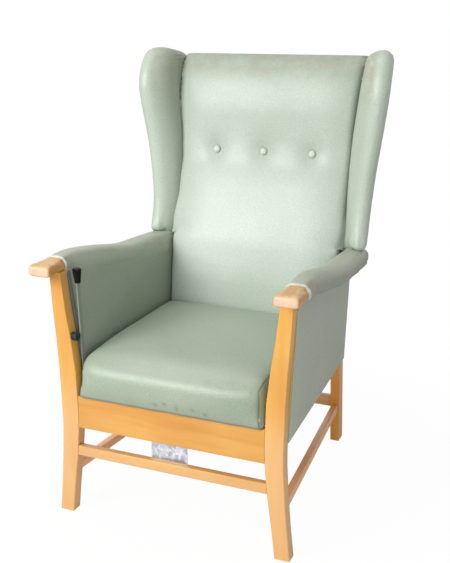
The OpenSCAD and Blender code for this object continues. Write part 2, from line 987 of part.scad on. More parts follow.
module inside_back_shape() {
    zs = concat(
        [for (s = low_ring_shares) pad_low + (tuft_low - pad_low) * s],
        [for (s = tuft_ring_shares) button_z + button_r * s],
        [for (s = top_ring_shares) tuft_high + (frame_top + gap - tuft_high) * s],
        [frame_top + gap]);
    rear_top = back_y(frame_top) - back_cover_t - small;
    loft(concat(
        [for (z = zs) pad_section(z, back_y(z) - pad_gap - gap / 2, pad_fall(z))],
        [for (s = roll_ring_shares)
            let (z = frame_top + gap + (back_top - frame_top - gap) * s)
            pad_section(z, min(rear_top, face_y(z) + roll_deep), s > 0.9 ? fall_top * 0.6 : fall_top)]));
}

module at_button(x) {
    translate([x, button_y, button_z])
        rotate([-90 - atan(back_lean), 0, 0])
            children();
}

module inside_back() {
    color("DarkSeaGreen")
        difference() {
            inside_back_shape();
            for (x = [-button_gap, 0, button_gap])
                at_button(x)
                    translate([0, 0, -over * 4])
                        cylinder(r = shank_r + gap, h = wide / 4, $fn = 24);
        }
}

// face of the padding at the bottom of a tuft
button_y = face_y(button_z) + dimple - small * 2;

module back_button(x) {
    shank = (back_y(button_z) - pad_gap - button_y) * cos(atan(back_lean)) - gap;
    color("DarkSeaGreen")
        at_button(x)
            rotate_extrude()
                polygon([
                    [0, -button_r * 0.57],
                    [button_r * 0.5, -button_r * 0.5],
                    [button_r * 0.85, -button_r * 0.3],
                    [button_r, -button_r * 0.1],
                    [button_r * 0.95, -gap],
                    [shank_r, -gap],
                    [shank_r, shank],
                    [0, shank]]);
}

module back_button_left() {
    back_button(-button_gap);
}

module back_button_middle() {
    back_button(0);
}

module back_button_right() {
    back_button(button_gap);
}

// wings

wing_z_shares = [0, 0.05, 0.125, 0.2, 0.275, 0.35, 0.425, 0.5, 0.576, 0.651, 0.727, 0.802, 0.877, 0.934, 1];
wing_out_shares = [0.05, 0.03, 0, 0.04, 0.11, 0.2, 0.31, 0.44, 0.59, 0.735, 0.87, 0.98, 1, 0.97, 0.91];
wing_front_shares = [0, 0.19, 0.38, 0.49, 0.53, 0.55, 0.56, 0.57, 0.54, 0.49, 0.45, 0.43, 0.55, 0.8, 1.2];
wing_swell_shares = [0, 0, 0, 0, 0, 0.05, 0.16, 0.28, 0.44, 0.6, 0.78, 0.9, 1, 1, 1];
wing_root_shares = [0.6, 0.5, 0.3, 0.12, 0, 0, 0.02, 0.1, 0.22, 0.4, 0.58, 0.72, 0.88, 0.96, 1];
wing_crease_shares = [0.36, 0.38, 0.46, 0.54, 0.62, 0.7, 0.77, 0.82, 0.855, 0.89, 0.94, 1, 1.16, 1.3, 1.4];
wing_heel_shares = [0, 0.02, 0.05, 0.09, 0.14, 0.2, 0.27, 0.36, 0.47, 0.58, 0.68, 0.79, 0.88, 0.95, 1];
wing_deep = 181;
wing_nose_y = back_rear_y - wing_deep;
wing_nose_run = 72;
crease_run = 96;
// the rolled front edge turns from the inner face to the outer face between these angles
roll_start = 230;
roll_turn = 140;
roll_steps = 12;
// rings at the wing's foot: rise, size and how far they are drawn in, then rings at its top
foot_rise_shares = [0, 0.09, 0.27, 0.64];
foot_size_shares = [0.4, 0.66, 0.86, 0.98];
foot_in_shares = [0.55, 0.32, 0.14, 0.02];
body_ring_shares = [0.05, 0.125, 0.2, 0.275, 0.35, 0.425, 0.5, 0.576, 0.651, 0.727, 0.802, 0.86, 0.9, 0.934];
cap_drop_shares = [1.14, 0.73, 0.36, 0.14, 0];
cap_size_shares = [1, 0.95, 0.82, 0.62, 0.34];
// the board inside a wing, and the pegs that tie it to the back upright
board_rise = 37.6;
board_tall = (wing_top - wing_foot) * 0.802;
board_edge = 8;
board_turn = 15;
peg_r = 10;
peg_shares = [0.17, 0.692];

function wing_share(z) = (z - wing_foot) / (wing_top - wing_foot);
function wing_z(share) = wing_foot + (wing_top - wing_foot) * share;
function wing_half(z) = wing_r + wing_swell * at(wing_z_shares, wing_swell_shares, wing_share(z));
function wing_centre(z) = wing_in + wing_flare * at(wing_z_shares, wing_out_shares, wing_share(z));
function wing_inner(z) = wing_root + root_flare * at(wing_z_shares, wing_root_shares, wing_share(z));
function wing_outer(z) = wing_heel + heel_flare * at(wing_z_shares, wing_heel_shares, wing_share(z));
function wing_front(z) = wing_nose_y + wing_nose_run * at(wing_z_shares, wing_front_shares, wing_share(z));
function wing_crease(z) = wing_nose_y + crease_run * at(wing_z_shares, wing_crease_shares, wing_share(z));
function wing_rear(z) = back_y(z) - back_cover_t - gap;

// one level of a wing: a rolled front edge, a face that turns in to the back padding and a flat rear
function wing_ring(z, s, front, rear) = let (
    r = wing_half(z) * s,
    x = wing_centre(z),
    mid = (wing_inner(z) + wing_outer(z)) / 2,
    x_in = mid + (wing_inner(z) - mid) * s,
    x_out = mid + (wing_outer(z) - mid) * s,
    y_in = min(front + (wing_crease(z) - wing_front(z)) * s, rear - r),
    soft = wing_r / 5)
    concat(
        [for (i = [0 : roll_steps])
            let (a = roll_start + roll_turn * i / roll_steps)
            [x + r * cos(a), front + r * sin(a), z]],
        [[x_out, rear - soft / 2, z],
        [x_out - soft / 4, rear, z],
        [(x_in + x_out) / 2, rear, z],
        [x_in + soft / 4, rear, z],
        [x_in, rear - soft / 2, z],
        [x_in, y_in + soft * s, z],
        [x_in + soft * s * 0.6, y_in - soft * s, z]]);

// a level above the last whole one, shrunk to its middle
function wing_cap(z, low, s) = let (
    mid_x = (wing_inner(low) + wing_centre(low) + wing_half(low)) / 2,
    mid_y = (wing_front(low) + wing_rear(low)) / 2)
    [for (p = wing_ring(low, 1, wing_front(low), wing_rear(low)))
        [mid_x + (p[0] - mid_x) * s, mid_y + (p[1] - mid_y) * s, z]];

module wing_shape() {
    cap_z = wing_top - wing_r * cap_drop_shares[0];
    loft(concat(
        [for (i = [0 : 3])
            let (z = wing_foot + wing_r * foot_rise_shares[i])
            wing_ring(
                z,
                foot_size_shares[i],
                wing_front(z) + wing_r * foot_in_shares[i],
                wing_rear(z) - wing_r * foot_in_shares[i])],
        [for (s = body_ring_shares) wing_ring(wing_z(s), 1, wing_front(wing_z(s)), wing_rear(wing_z(s)))],
        [for (i = [0 : 4])
            wing_cap(wing_top - wing_r * cap_drop_shares[i], cap_z, cap_size_shares[i])]));
}

board_low_z = wing_foot + board_rise;
function board_tilt() = atan2((wing_flare - wing_r / 10) * cos(board_turn), board_tall);
// where the board's middle is, at a depth and a height
function wing_board_x(y, z) = wing_centre(board_low_z) - (y - wing_front(board_low_z)) * tan(board_turn)
    + (z - board_low_z) * tan(board_tilt()) / cos(board_turn);

module wing_board() {
    z0 = board_low_z;
    z1 = z0 + board_tall * 0.96;
    z2 = z0 + board_tall * 0.53;
    intersection() {
        translate([wing_centre(z0), wing_front(z0), z0])
            rotate([0, board_tilt(), board_turn])
                translate([-wing_board_t / 2, -wing_deep, -wing_r])
                    cube([wing_board_t, wing_deep * 2.2, board_tall + wing_r * 2]);
        along_x(0, wide)
            polygon([
                [wing_front(z0) + board_edge, z0],
                [wing_rear(z0) - board_edge, z0],
                [wing_rear(z1) - board_edge, z1],
                [wing_front(z1) + board_edge, z1],
                [wing_front(z2) + board_edge, z2]]);
    }
}

// from the upright's outer face to the board inside the wing
module wing_peg(z) {
    y = wing_rear(z) - upright_d / 2;
    difference() {
        rod_x(upright_in(z) + upright_w / 2, wing_board_x(y, z), y, z, peg_r);
        upright();
        wing_board();
    }
}

module wing_right() {
    color("DarkSeaGreen")
        wing_soft();
}

module wing_left() {
    color("DarkSeaGreen")
        left()
            wing_soft();
}

module wing_soft() {
    difference() {
        wing_shape();
        wing_board();
        translate([0, 0, gap])
            arm_pad_shape();
        for (s = peg_shares)
            let (z = wing_z(s), y = wing_rear(z) - upright_d / 2)
                rod_x(upright_out(z) - peg_r, wing_board_x(y, z), y, z, peg_r + gap);
    }
}

module wing_board_right() {
    color("Wheat")
        wing_board();
}

module wing_board_left() {
    color("Wheat")
        left()
            wing_board();
}

module wing_pegs_right() {
    color("Wheat")
        for (s = peg_shares)
            wing_peg(wing_z(s));
}

module wing_pegs_left() {
    color("Wheat")
        left()
            for (s = peg_shares)
                wing_peg(wing_z(s));
}

// seat

module seat_board() {
    color("Wheat")
        difference() {
            block(
                -seat_board_half,
                seat_board_half,
                board_front,
                board_front + board_deep,
                board_low,
                board_top);
            for (x = [-vent_x_share, vent_x_share] * seat_board_half)
                for (s = vent_y_shares)
                    translate([x, board_front + board_deep * s, board_low - over])
                        cylinder(r = vent_r, h = seat_board_t + over * 2);
        }
}

// a level of the cushion, eight points round each corner
function cushion_ring(inset, corner, z) = [for (q = [0 : 3]) for (i = [0 : 7])
    let (
        a = 90 * (q + i / 7),
        y0 = cushion_front + inset * front_round_share + corner,
        y1 = cushion_deep - inset - corner,
        hx = cushion_half - inset - corner,
        sx = (q == 0 || q == 3) ? 1 : -1)
    [sx * hx + corner * cos(a), (q < 2 ? y1 : y0) + corner * sin(a), z]];

function cushion_z(i) = i < 7
    ? board_top + (seat_h - cushion_crown - board_top) * cushion_rise_shares[i]
    : seat_h - cushion_crown * (1 - cushion_dome_shares[i - 6]);

module cushion_shape() {
    loft([for (i = [0 : 11])
        cushion_ring(
            cushion_half * cushion_inset_shares[i],
            cushion_half * cushion_corner_shares[i],
            cushion_z(i))]);
}

module cushion_outline(inset) {
    corner = cushion_half * cushion_corner_shares[0];
    y_mid = (cushion_front + cushion_deep) / 2;
    polygon([for (p = cushion_ring(0, corner - inset, 0))
        [p[0] - inset * sign(p[0]), p[1] - inset * sign(p[1] - y_mid)]]);
}

// the cover hangs down over the front edge of the board and a little way round the corners
module cushion_flap() {
    intersection() {
        translate([0, 0, lip_low])
            linear_extrude(height = board_top + lip_t * 2 - lip_low)
                difference() {
                    cushion_outline(0);
                    cushion_outline(lip_t);
                }
        block(-wide, wide, cushion_front - over, board_front + lip_t, lip_low - over, seat_h);
    }
}

module seat_cushion() {
    color("DarkSeaGreen")
        union() {
            cushion_shape();
            cushion_flap();
        }
}

// every other knuckle belongs to the same leaf
module knuckles(first) {
    pitch = hinge_len / knuckle_count;
    for (k = [first : 2 : knuckle_count - 1])
        rod_x(
            k * pitch - hinge_len / 2 + gap / 2,
            (k + 1) * pitch - hinge_len / 2 - gap / 2,
            hinge_y,
            hinge_z,
            knuckle_r);
}

module knuckle_space(first) {
    pitch = hinge_len / knuckle_count;
    for (k = [first : 2 : knuckle_count - 1])
        rod_x(
            k * pitch - hinge_len / 2 - gap / 2,
            (k + 1) * pitch - hinge_len / 2 + gap / 2,
            hinge_y,
            hinge_z,
            knuckle_r + gap);
}

module hinge_bore() {
    rod_x(-hinge_len, hinge_len, hinge_y, hinge_z, hinge_pin_r + run);
}

module hinge_leaf(y1, z0) {
    block(-hinge_len / 2 + gap, hinge_len / 2 - gap, hinge_y, y1, z0, z0 + leaf_t);
}

module hinge_fixed() {
    color("Silver")
        difference() {
            union() {
                knuckles(0);
                hinge_leaf(rail_back - over, rail_top);
            }
            hinge_bore();
            knuckle_space(1);
        }
}

module hinge_moving() {
    color("Silver")
        difference() {
            union() {
                knuckles(1);
                hinge_leaf(board_front + leaf_w, board_low - leaf_t);
            }
            hinge_bore();
            knuckle_space(0);
        }
}

module hinge_pin() {
    color("Gainsboro")
        rod_x(-hinge_len / 2, hinge_len / 2, hinge_y, hinge_z, hinge_pin_r);
}

module seat_rest_rail() {
    z1 = board_low - rest_pad_h;
    color("Wheat")
        difference() {
            block(-rear_half, rear_half, rest_y, rest_y + rest_t, z1 - rest_h, z1);
            side_slab(0, board_in + side_rail_t);
            side_slab(-wide / 8, board_in + side_rail_t);
            left()
                side_slab(0, board_in + side_rail_t);
            left()
                side_slab(-wide / 8, board_in + side_rail_t);
        }
}

module rest_pads() {
    color("DimGray")
        for (x = [-rest_pad_x, rest_pad_x])
            translate([x, rest_y + rest_t / 2, board_low - rest_pad_h])
                cylinder(r = rest_pad_r, h = rest_pad_h);
}

// lift strut

module strut_plate() {
    y0 = rail_back + gap;
    color("LightSteelBlue")
        difference() {
            union() {
                block(
                    plate_mid - plate_w / 2,
                    plate_mid + plate_w / 2,
                    y0,
                    y0 + plate_t,
                    plate_low,
                    plate_top);
                for (x = [-eye_half - gap - lug_t, eye_half + gap])
                    along_x(x, x + lug_t)
                        polygon([
                            [y0 + plate_t - small, strut_z - eye_r * 1.6],
                            [strut_y + eye_r, strut_z - eye_r],
                            [strut_y + eye_r, strut_z + eye_r],
                            [y0 + plate_t - small, strut_z + eye_r * 1.6]]);
            }
            rod_x(-wide / 4, wide / 4, strut_y, strut_z, strut_pin_r + run);
        }
}

module on_strut() {
    translate([0, strut_y, strut_z])
        rotate([strut_turn, 0, 0])
            children();
}

// a round bar along the strut, from one distance to another
module strut_bar(d0, d1, r) {
    translate([0, d0, 0])
        rotate([-90, 0, 0])
            cylinder(r = r, h = d1 - d0);
}

module strut_tube() {
    color("DimGray")
        on_strut()
            difference() {
                union() {
                    strut_bar(tube_start, tube_len, tube_r);
                    rod_x(-eye_half, eye_half, 0, 0, eye_r);
                    strut_bar(0, tube_start + over, eye_half * 0.8);
                    strut_bar(tube_start - over, tube_start, tube_r * 0.9);
                }
                rod_x(-wide / 4, wide / 4, 0, 0, strut_pin_r + run);
                strut_bar(rod_start - over * 2, tube_len + over, rod_r + run);
            }
}

module strut_rod() {
    color("Silver")
        on_strut()
            difference() {
                union() {
                    strut_bar(rod_start, strut_len - eye_r * 0.5, rod_r);
                    rod_x(-eye_half, eye_half, strut_len, 0, eye_r);
                }
                rod_x(-wide / 4, wide / 4, strut_len, 0, strut_pin_r + top_play);
            }
}

module strut_lower_pin() {
    reach = eye_half + gap + lug_t + over * 2;
    color("Gainsboro")
        rod_x(-reach, reach, strut_y, strut_z, strut_pin_r);
}

module strut_bracket() {
    reach = eye_half + gap + lug_t;
    color("LightSteelBlue")
        difference() {
            union() {
                block(
                    -reach - eye_r,
                    reach + eye_r,
                    strut_top_y - bracket_half,
                    strut_top_y + bracket_half,
                    board_low - leaf_t,
                    board_low);
                for (x = [-reach, eye_half + gap])
                    along_x(x, x + lug_t)
                        polygon([
                            [strut_top_y - eye_r, strut_top_z - eye_r * 0.8],
                            [strut_top_y + eye_r, strut_top_z - eye_r * 0.8],
                            [strut_top_y + eye_r * 1.4, board_low - small],
                            [strut_top_y - eye_r * 1.4, board_low - small]]);
            }
            rod_x(-wide / 4, wide / 4, strut_top_y, strut_top_z, strut_pin_r + run);
        }
}

module strut_upper_pin() {
    reach = eye_half + gap + lug_t + over * 2;
    color("Gainsboro")
        rod_x(-reach, reach, strut_top_y, strut_top_z, strut_pin_r);
}

// lever

shaft_end = -20;
finger_t = 8;
finger_len = 40;
bearing_t = 3;
bearing_half = 10;
bearing_h = 28;
bearing_left_x = -200;
bearing_right_x = -72;

module lever_blade(z0) {
    block(lever_x - lever_t, lever_x, -lever_w / 2, lever_w / 2, z0, lever_len + knob_len * 0.6);
}

module lever_bar() {
    color("Gray")
        translate([0, shaft_y, shaft_z])
            rotate([lever_tilt, 0, 0])
                difference() {
                    union() {
                        rod_x(lever_x - lever_t, lever_x, 0, 0, shaft_r * 2);
                        lever_blade(0);
                    }
                    rod_x(-wide, 0, 0, 0, shaft_r);
                }
}

module lever_shaft() {
    x = shaft_end - finger_t;
    color("Gray")
        union() {
            rod_x(lever_x - lever_t, shaft_end, shaft_y, shaft_z, shaft_r);
            rod_x(x, shaft_end, shaft_y, shaft_z, shaft_r * 1.8);
            block(
                x,
                shaft_end,
                shaft_y - shaft_r * 0.6,
                shaft_y + shaft_r * 0.6,
                shaft_z - finger_len,
                shaft_z);
        }
}

module lever_knob() {
    xm = lever_x - lever_t / 2;
    color("Black")
        translate([0, shaft_y, shaft_z])
            rotate([lever_tilt, 0, 0])
                difference() {
                    translate([xm, 0, lever_len])
                        rotate_extrude()
                            polygon([
                                [0, 0],
                                [knob_r * 0.6, 0],
                                [knob_r * 0.65, knob_len * 0.03],
                                [knob_r * 0.95, knob_len * 0.79],
                                [knob_r, knob_len * 0.87],
                                [knob_r * 0.93, knob_len * 0.95],
                                [knob_r * 0.7, knob_len * 0.99],
                                [0, knob_len]]);
                    lever_blade(-lever_w);
                }
}

module shaft_bearing(x) {
    t = bearing_t;
    h = bearing_h / 2;
    color("LightSteelBlue")
        difference() {
            union() {
                block(
                    x - bearing_half,
                    x + bearing_half,
                    rail_back,
                    rail_back + t,
                    shaft_z - h,
                    shaft_z + h);
                along_x(x - t / 2, x + t / 2)
                    polygon([
                        [rail_back + t - small, shaft_z - h * 0.86],
                        [shaft_y + shaft_r + t, shaft_z - shaft_r - t],
                        [shaft_y + shaft_r + t, shaft_z + shaft_r + t],
                        [rail_back + t - small, shaft_z + h * 0.86]]);
            }
            rod_x(-wide, 0, shaft_y, shaft_z, shaft_r + run);
        }
}

module bearing_left() {
    shaft_bearing(bearing_left_x);
}

module bearing_right() {
    shaft_bearing(bearing_right_x);
}

// the buffer stands just in front of the lever bar
module lever_buffer() {
    bar_y = shaft_y - (buffer_z - shaft_z) * tan(lever_tilt);
    y = bar_y - lever_w / 2 / cos(lever_tilt) - buffer_r - gap;
    color("DimGray")
        left()
            difference() {
                rod_x(buffer_in, rail_half + post_w / 2, y, buffer_z, buffer_r);
                post();
                translate([post_w / 3, 0, 0])
                    post();
            }
}

place() front_leg_left();
place() front_leg_right();
place() rear_leg_left();
place() rear_leg_right();
place() front_rail();
place() front_stretcher();
place() side_stretcher_left();
place() side_stretcher_right();
place() rear_stretcher();
place() rear_rail();
place() side_rail_left();
place() side_rail_right();
place() corner_block_left();
place() corner_block_right();
place() arm_rail_left();
place() arm_rail_right();
place() arm_pad_left();
place() arm_pad_right();
place() side_cover_left();
place() side_cover_right();
place() side_board_left();
place() side_board_right();
place() inner_pad_left();
place() inner_pad_right();
place() back_upright_left();
place() back_upright_right();
place() back_top_rail();
place() back_middle_rail();
place() back_lower_rail();
place() back_board();
place() outer_back();
place() inside_back();
place() back_button_left();
place() back_button_middle();
place() back_button_right();
place() wing_left();
place() wing_right();
place() wing_board_left();
place() wing_board_right();
place() wing_pegs_left();
place() wing_pegs_right();
place() seat_rest_rail();
place() rest_pads();
place() seat_board();
place() seat_cushion();
place() hinge_fixed();
place() hinge_moving();
place() hinge_pin();
place() strut_plate();
place() strut_tube();
place() strut_rod();
place() strut_lower_pin();
place() strut_upper_pin();
place() strut_bracket();
place() lever_bar();
place() lever_shaft();
place() lever_knob();
place() lever_buffer();
place() bearing_left();
place() bearing_right();
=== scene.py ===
"""Looks of the fireside chair: vinyl upholstery, varnished beech, zinc and painted steel."""

import json
import math

import bmesh
import bpy
import numpy as np
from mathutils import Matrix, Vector


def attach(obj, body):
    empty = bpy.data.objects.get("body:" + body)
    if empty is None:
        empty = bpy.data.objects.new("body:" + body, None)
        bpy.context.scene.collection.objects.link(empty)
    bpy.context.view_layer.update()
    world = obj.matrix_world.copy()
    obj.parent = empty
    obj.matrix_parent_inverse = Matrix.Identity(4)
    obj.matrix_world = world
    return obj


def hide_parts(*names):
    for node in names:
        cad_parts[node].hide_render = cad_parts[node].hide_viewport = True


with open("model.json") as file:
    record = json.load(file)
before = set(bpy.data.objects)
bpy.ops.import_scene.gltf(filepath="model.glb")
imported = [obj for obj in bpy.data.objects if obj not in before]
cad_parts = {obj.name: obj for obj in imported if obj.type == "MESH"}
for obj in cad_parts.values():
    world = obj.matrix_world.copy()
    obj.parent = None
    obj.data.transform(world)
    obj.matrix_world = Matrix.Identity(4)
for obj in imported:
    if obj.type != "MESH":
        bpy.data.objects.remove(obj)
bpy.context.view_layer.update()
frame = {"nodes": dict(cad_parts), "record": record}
bpy.ops.object.select_all(action="DESELECT")

MM = 0.001
NODES = frame["nodes"]
BODIES = frame["record"]["behaviour"]["bodies"]
BODY_OF = {node: body for body, nodes in BODIES.items() for node in nodes}

# the CAD model's own y starts this far in front of the frame's origin
CAD_Y = 366.585 * MM

# camera, solved from the straight members of the photographed chair
CAMERA_AT = (895.3 * MM, -1769.6 * MM - CAD_Y, 1253.9 * MM)
CAMERA_TO = (27.81 * MM, 281.97 * MM - CAD_Y, 593.62 * MM)
CAMERA_ROLL = -0.067
CAMERA_LENS = 57.2
CAMERA_SHIFT = (0.00575, -0.0005)
# the lights look at the middle of the chair
LIGHTS_TO = (0.0, 0.0, 550 * MM)
WORLD_LIGHT = 0.42
FLOOR_SIZE = 30.0
# how white the floor looks under the chair, and how far from its middle it is pure white
FLOOR_WHITE = 0.965
FLOOR_FADE = (0.4, 1.3)


# shader maths


class Value:
    """A socket that can be added to and multiplied."""

    def __init__(self, finish, socket):
        self.finish = finish
        self.socket = socket

    def maths(self, operation, other):
        return self.finish.add("ShaderNodeMath", {"operation": operation}, {0: self, 1: other})

    def __add__(self, other):
        return self.maths("ADD", other)

    def __mul__(self, other):
        return self.maths("MULTIPLY", other)


class Finish:
    """A material, filled with nodes one by one."""

    def __init__(self, name):
        self.material = bpy.data.materials.new(name)
        self.material.use_nodes = True
        self.nodes = self.material.node_tree.nodes
        self.links = self.material.node_tree.links
        self.nodes.clear()
        self.place = self.add("ShaderNodeTexCoord", out="Object")

    def add(self, kind, settings=None, inputs=None, out=0):
        node = self.nodes.new(kind)
        for name, value in (settings or {}).items():
            setattr(node, name, value)
        for name, value in (inputs or {}).items():
            socket = node.inputs[name]
            if isinstance(value, Value):
                self.links.new(value.socket, socket)
            elif isinstance(value, tuple) and len(value) == 3 and socket.type == "RGBA":
                socket.default_value = (*value, 1.0)
            else:
                socket.default_value = value
        return Value(self, node.outputs[out])

    def scaled(self, x, y, z):
        inputs = {"Vector": self.place, "Scale": (x, y, z)}
        return self.add("ShaderNodeMapping", None, inputs)

    def painted(self, name):
        """A share painted on the mesh: painted shade, dirt, wear with a painted highlight, rust,
        seams and smudges with painted shadow, worn varnish or scuffs.
        """
        return self.add("ShaderNodeAttribute", {"attribute_name": name}, out="Fac")

    def height(self):
        return self.add("ShaderNodeSeparateXYZ", None, {0: self.place}, out="Z")

    def noise(self, scale, detail=4.0, rough=0.5, vector=None, distort=0.0):
        inputs = {
            "Vector": vector or self.place,
            "Scale": scale,
            "Detail": detail,
            "Roughness": rough,
            "Distortion": distort,
        }
        return self.add("ShaderNodeTexNoise", None, inputs)

    def cells(self, scale, feature="F1", vector=None, out="Distance"):
        inputs = {"Vector": vector or self.place, "Scale": scale}
        return self.add("ShaderNodeTexVoronoi", {"feature": feature}, inputs, out)

    def step(self, value, low, high, to_low=0.0, to_high=1.0):
        """A smooth step from one share to another as the value goes from low to high."""
        settings = {"interpolation_type": "SMOOTHSTEP", "clamp": True}
        inputs = {
            "Value": value,
            "From Min": low,
            "From Max": high,
            "To Min": to_low,
            "To Max": to_high,
        }
        return self.add("ShaderNodeMapRange", settings, inputs)

    def mix(self, share, first, second, how="MIX"):
        settings = {"data_type": "RGBA", "blend_type": how}
        return self.add("ShaderNodeMix", settings, {0: share, 6: first, 7: second}, out=2)

    def bump(self, height, strength, distance, under=None):
        inputs = {"Height": height, "Strength": strength, "Distance": distance}
        if under:
            inputs["Normal"] = under
        return self.add("ShaderNodeBump", None, inputs)

    def close(self, **inputs):
        """Ends the material with a plain shader, whose inputs have short names here."""
        names = {
            "colour": "Base Color",
            "rough": "Roughness",
            "metal": "Metallic",
            "normal": "Normal",
            "coat": "Coat Weight",
            "coat_rough": "Coat Roughness",
            "gloss": "Specular IOR Level",
        }
        inputs = {names[short]: value for short, value in inputs.items()}
        return self.shown(self.add("ShaderNodeBsdfPrincipled", None, inputs))

    def shown(self, shader):
        """Puts a shader on the surface and gives the material back."""
        output = self.nodes.new("ShaderNodeOutputMaterial")
        self.links.new(shader.socket, output.inputs["Surface"])
        return self.material


def tone(red, green, blue):
    """A colour as seen on a screen, 0 to 255, made linear."""
    shares = [value / 255 for value in (red, green, blue)]
    return tuple(s / 12.92 if s <= 0.04045 else ((s + 0.055) / 1.055) ** 2.4 for s in shares)


# finishes

SAGE = tone(177, 189, 176)
SAGE_PALE = tone(186, 196, 185)
SAGE_DEEP = tone(150, 163, 147)
GRIME = tone(150, 132, 102)
PALE = tone(214, 218, 206)
# the dark green of seams and smudges, and of painted shadow in gaps and creases
SEAM_AND_SHADE_TONE = tone(66, 70, 58)
RUST = tone(158, 122, 86)
BEECH = tone(209, 151, 60)
BEECH_PALE = tone(218, 168, 80)
BEECH_DEEP = tone(191, 127, 46)
BEECH_BARE = tone(222, 182, 144)
BEECH_FLECK = tone(176, 108, 46)
WORN = tone(210, 180, 154)
SCUFF = tone(218, 174, 120)
RAW_WOOD = tone(214, 176, 124)
RAW_WOOD_DEEP = tone(178, 134, 84)
ZINC = tone(168, 178, 192)
ZINC_PALE = tone(224, 230, 238)
ZINC_EDGE = tone(120, 130, 146)
ZINC_STREAK = tone(112, 116, 124)
BARE_STEEL = tone(150, 150, 150)
STEEL = (0.58, 0.58, 0.6)

PLAIN = (1.0, 1.0, 1.0)
# the tint of painted shade on vinyl
PAINTED_SHADE_TINT = (0.68, 0.71, 0.67)


def along_grain(along, length, width):
    """A scale for noise that is drawn out along one axis."""
    return [length if letter == along else width for letter in "XYZ"]


def vinyl_finish(name, light=PLAIN, grime=0.0):
    """Sage green coated cloth with a fine pebble grain."""
    f = Finish(name)
    cloud = f.noise(4.0, detail=2.0)
    fine = f.noise(330.0, detail=2.0, rough=0.6)
    pebble = f.cells(900.0)
    colour = f.mix(f.step(cloud, 0.3, 0.7), SAGE, SAGE_PALE)
    colour = f.mix(f.step(pebble, 0.1, 0.6, 0.3, 0.0), colour, SAGE_DEEP)
    colour = f.mix(f.step(fine, 0.5, 0.72, 0.0, 0.35), colour, SAGE_DEEP)
    colour = f.mix(f.step(fine, 0.5, 0.3, 0.0, 0.3), colour, PALE)
    soil = f.noise(34.0, detail=5.0, rough=0.65)
    if grime:
        grimy = f.step(f.noise(9.0, rough=0.6), 0.5, 0.75, 0.0, grime)
        colour = f.mix(grimy, colour, GRIME)
    # the light: painted light on the back, painted shade on the inner pads, elsewhere the vinyl's
    # own tone
    colour = f.mix(1.0, colour, light, "MULTIPLY")
    # painted shade darkens the vinyl
    colour = f.mix(f.painted("painted_shade"), colour, PAINTED_SHADE_TINT, "MULTIPLY")
    colour = f.mix(f.painted("dirt") * f.step(soil, 0.3, 0.66), colour, GRIME)
    # pale wear, and on some rolled edges a painted highlight
    colour = f.mix(f.painted("wear_and_highlight") * f.step(soil, 0.28, 0.5), colour, PALE)
    colour = f.mix(f.painted("rust") * f.step(soil, 0.36, 0.6), colour, RUST)
    # dark seams and smudges, and painted shadow in gaps, creases and under edges
    colour = f.mix(f.painted("seam_and_shade"), colour, SEAM_AND_SHADE_TONE)
    rough = f.step(fine, 0.3, 0.7, 0.36, 0.44) + f.painted("dirt") * 0.15
    grain = f.bump(pebble, 0.25, 0.5 * MM)
    soft = f.bump(f.noise(13.0, detail=2.0), 0.3, 2 * MM, under=grain)
    return f.close(colour=colour, rough=rough, normal=soft, gloss=0.55)


def beech_finish(name, along, bare, bare_top=0.42, light=PLAIN):
    """Honey varnished beech, its grain along one axis and its varnish worn below bare_top."""
    f = Finish(name)
    size = along_grain(along, 2.6, 34.0)
    fibre = along_grain(along, 30.0, 900.0)
    dash = along_grain(along, 120.0, 900.0)
    worn_fibre = [scale * 0.12 for scale in fibre]
    figure = f.noise(1.0, rough=0.55, vector=f.scaled(*size), distort=0.6)
    strand = f.noise(1.0, detail=3.0, rough=0.6, vector=f.scaled(*fibre))
    fleck = f.cells(1.0, vector=f.scaled(*dash))
    cloud = f.noise(5.0, detail=2.0)
    colour = f.mix(f.step(figure, 0.34, 0.68), BEECH_PALE, BEECH)
    colour = f.mix(f.step(cloud, 0.42, 0.72, 0.0, 0.4), colour, BEECH_DEEP)
    colour = f.mix(f.step(strand, 0.54, 0.78, 0.0, 0.25), colour, BEECH_DEEP)
    colour = f.mix(f.step(fleck, 0.02, 0.14, 0.3, 0.0), colour, BEECH_FLECK)
    bareness = f.step(f.height(), bare_top, bare_top * 0.6, 0.0, bare)
    colour = f.mix(bareness, colour, BEECH_BARE)
    # the light: painted light on the side stretchers, elsewhere the wood's own tone
    colour = f.mix(1.0, colour, light, "MULTIPLY")
    wear = f.painted("worn")
    scuff = f.painted("scuff")
    patch = f.noise(30.0, rough=0.6)
    scratch = f.noise(1.0, detail=3.0, rough=0.6, vector=f.scaled(*worn_fibre))
    colour = f.mix(scuff * f.step(patch, 0.25, 0.55, 0.55, 1.0), colour, SCUFF)
    colour = f.mix(scuff * f.step(scratch, 0.42, 0.6) * 0.35, colour, BEECH_FLECK)
    colour = f.mix(wear * f.step(patch, 0.2, 0.6, 0.35, 1.0), colour, WORN)
    # the arm is darkened here as painted shade where it meets its cover and the post, and so is
    # the left post near its top
    colour = f.mix(f.painted("seam_and_shade"), colour, BEECH_FLECK)
    rough = f.step(strand, 0.3, 0.7, 0.32, 0.4) + wear * 0.25
    fine = f.bump(strand, 0.12, 0.3 * MM)
    return f.close(
        colour=colour, rough=rough, normal=fine, coat=0.35, coat_rough=0.25, gloss=0.45)


def raw_wood_finish(name):
    """Plain unvarnished wood with upright grain, for what no one sees."""
    f = Finish(name)
    along = f.scaled(*along_grain("Z", 6.0, 70.0))
    grain = f.noise(1.0, rough=0.6, vector=along, distort=0.8)
    colour = f.mix(f.step(grain, 0.35, 0.7), RAW_WOOD, RAW_WOOD_DEEP)
    return f.close(colour=colour, rough=0.72, normal=f.bump(grain, 0.2, 0.6 * MM))


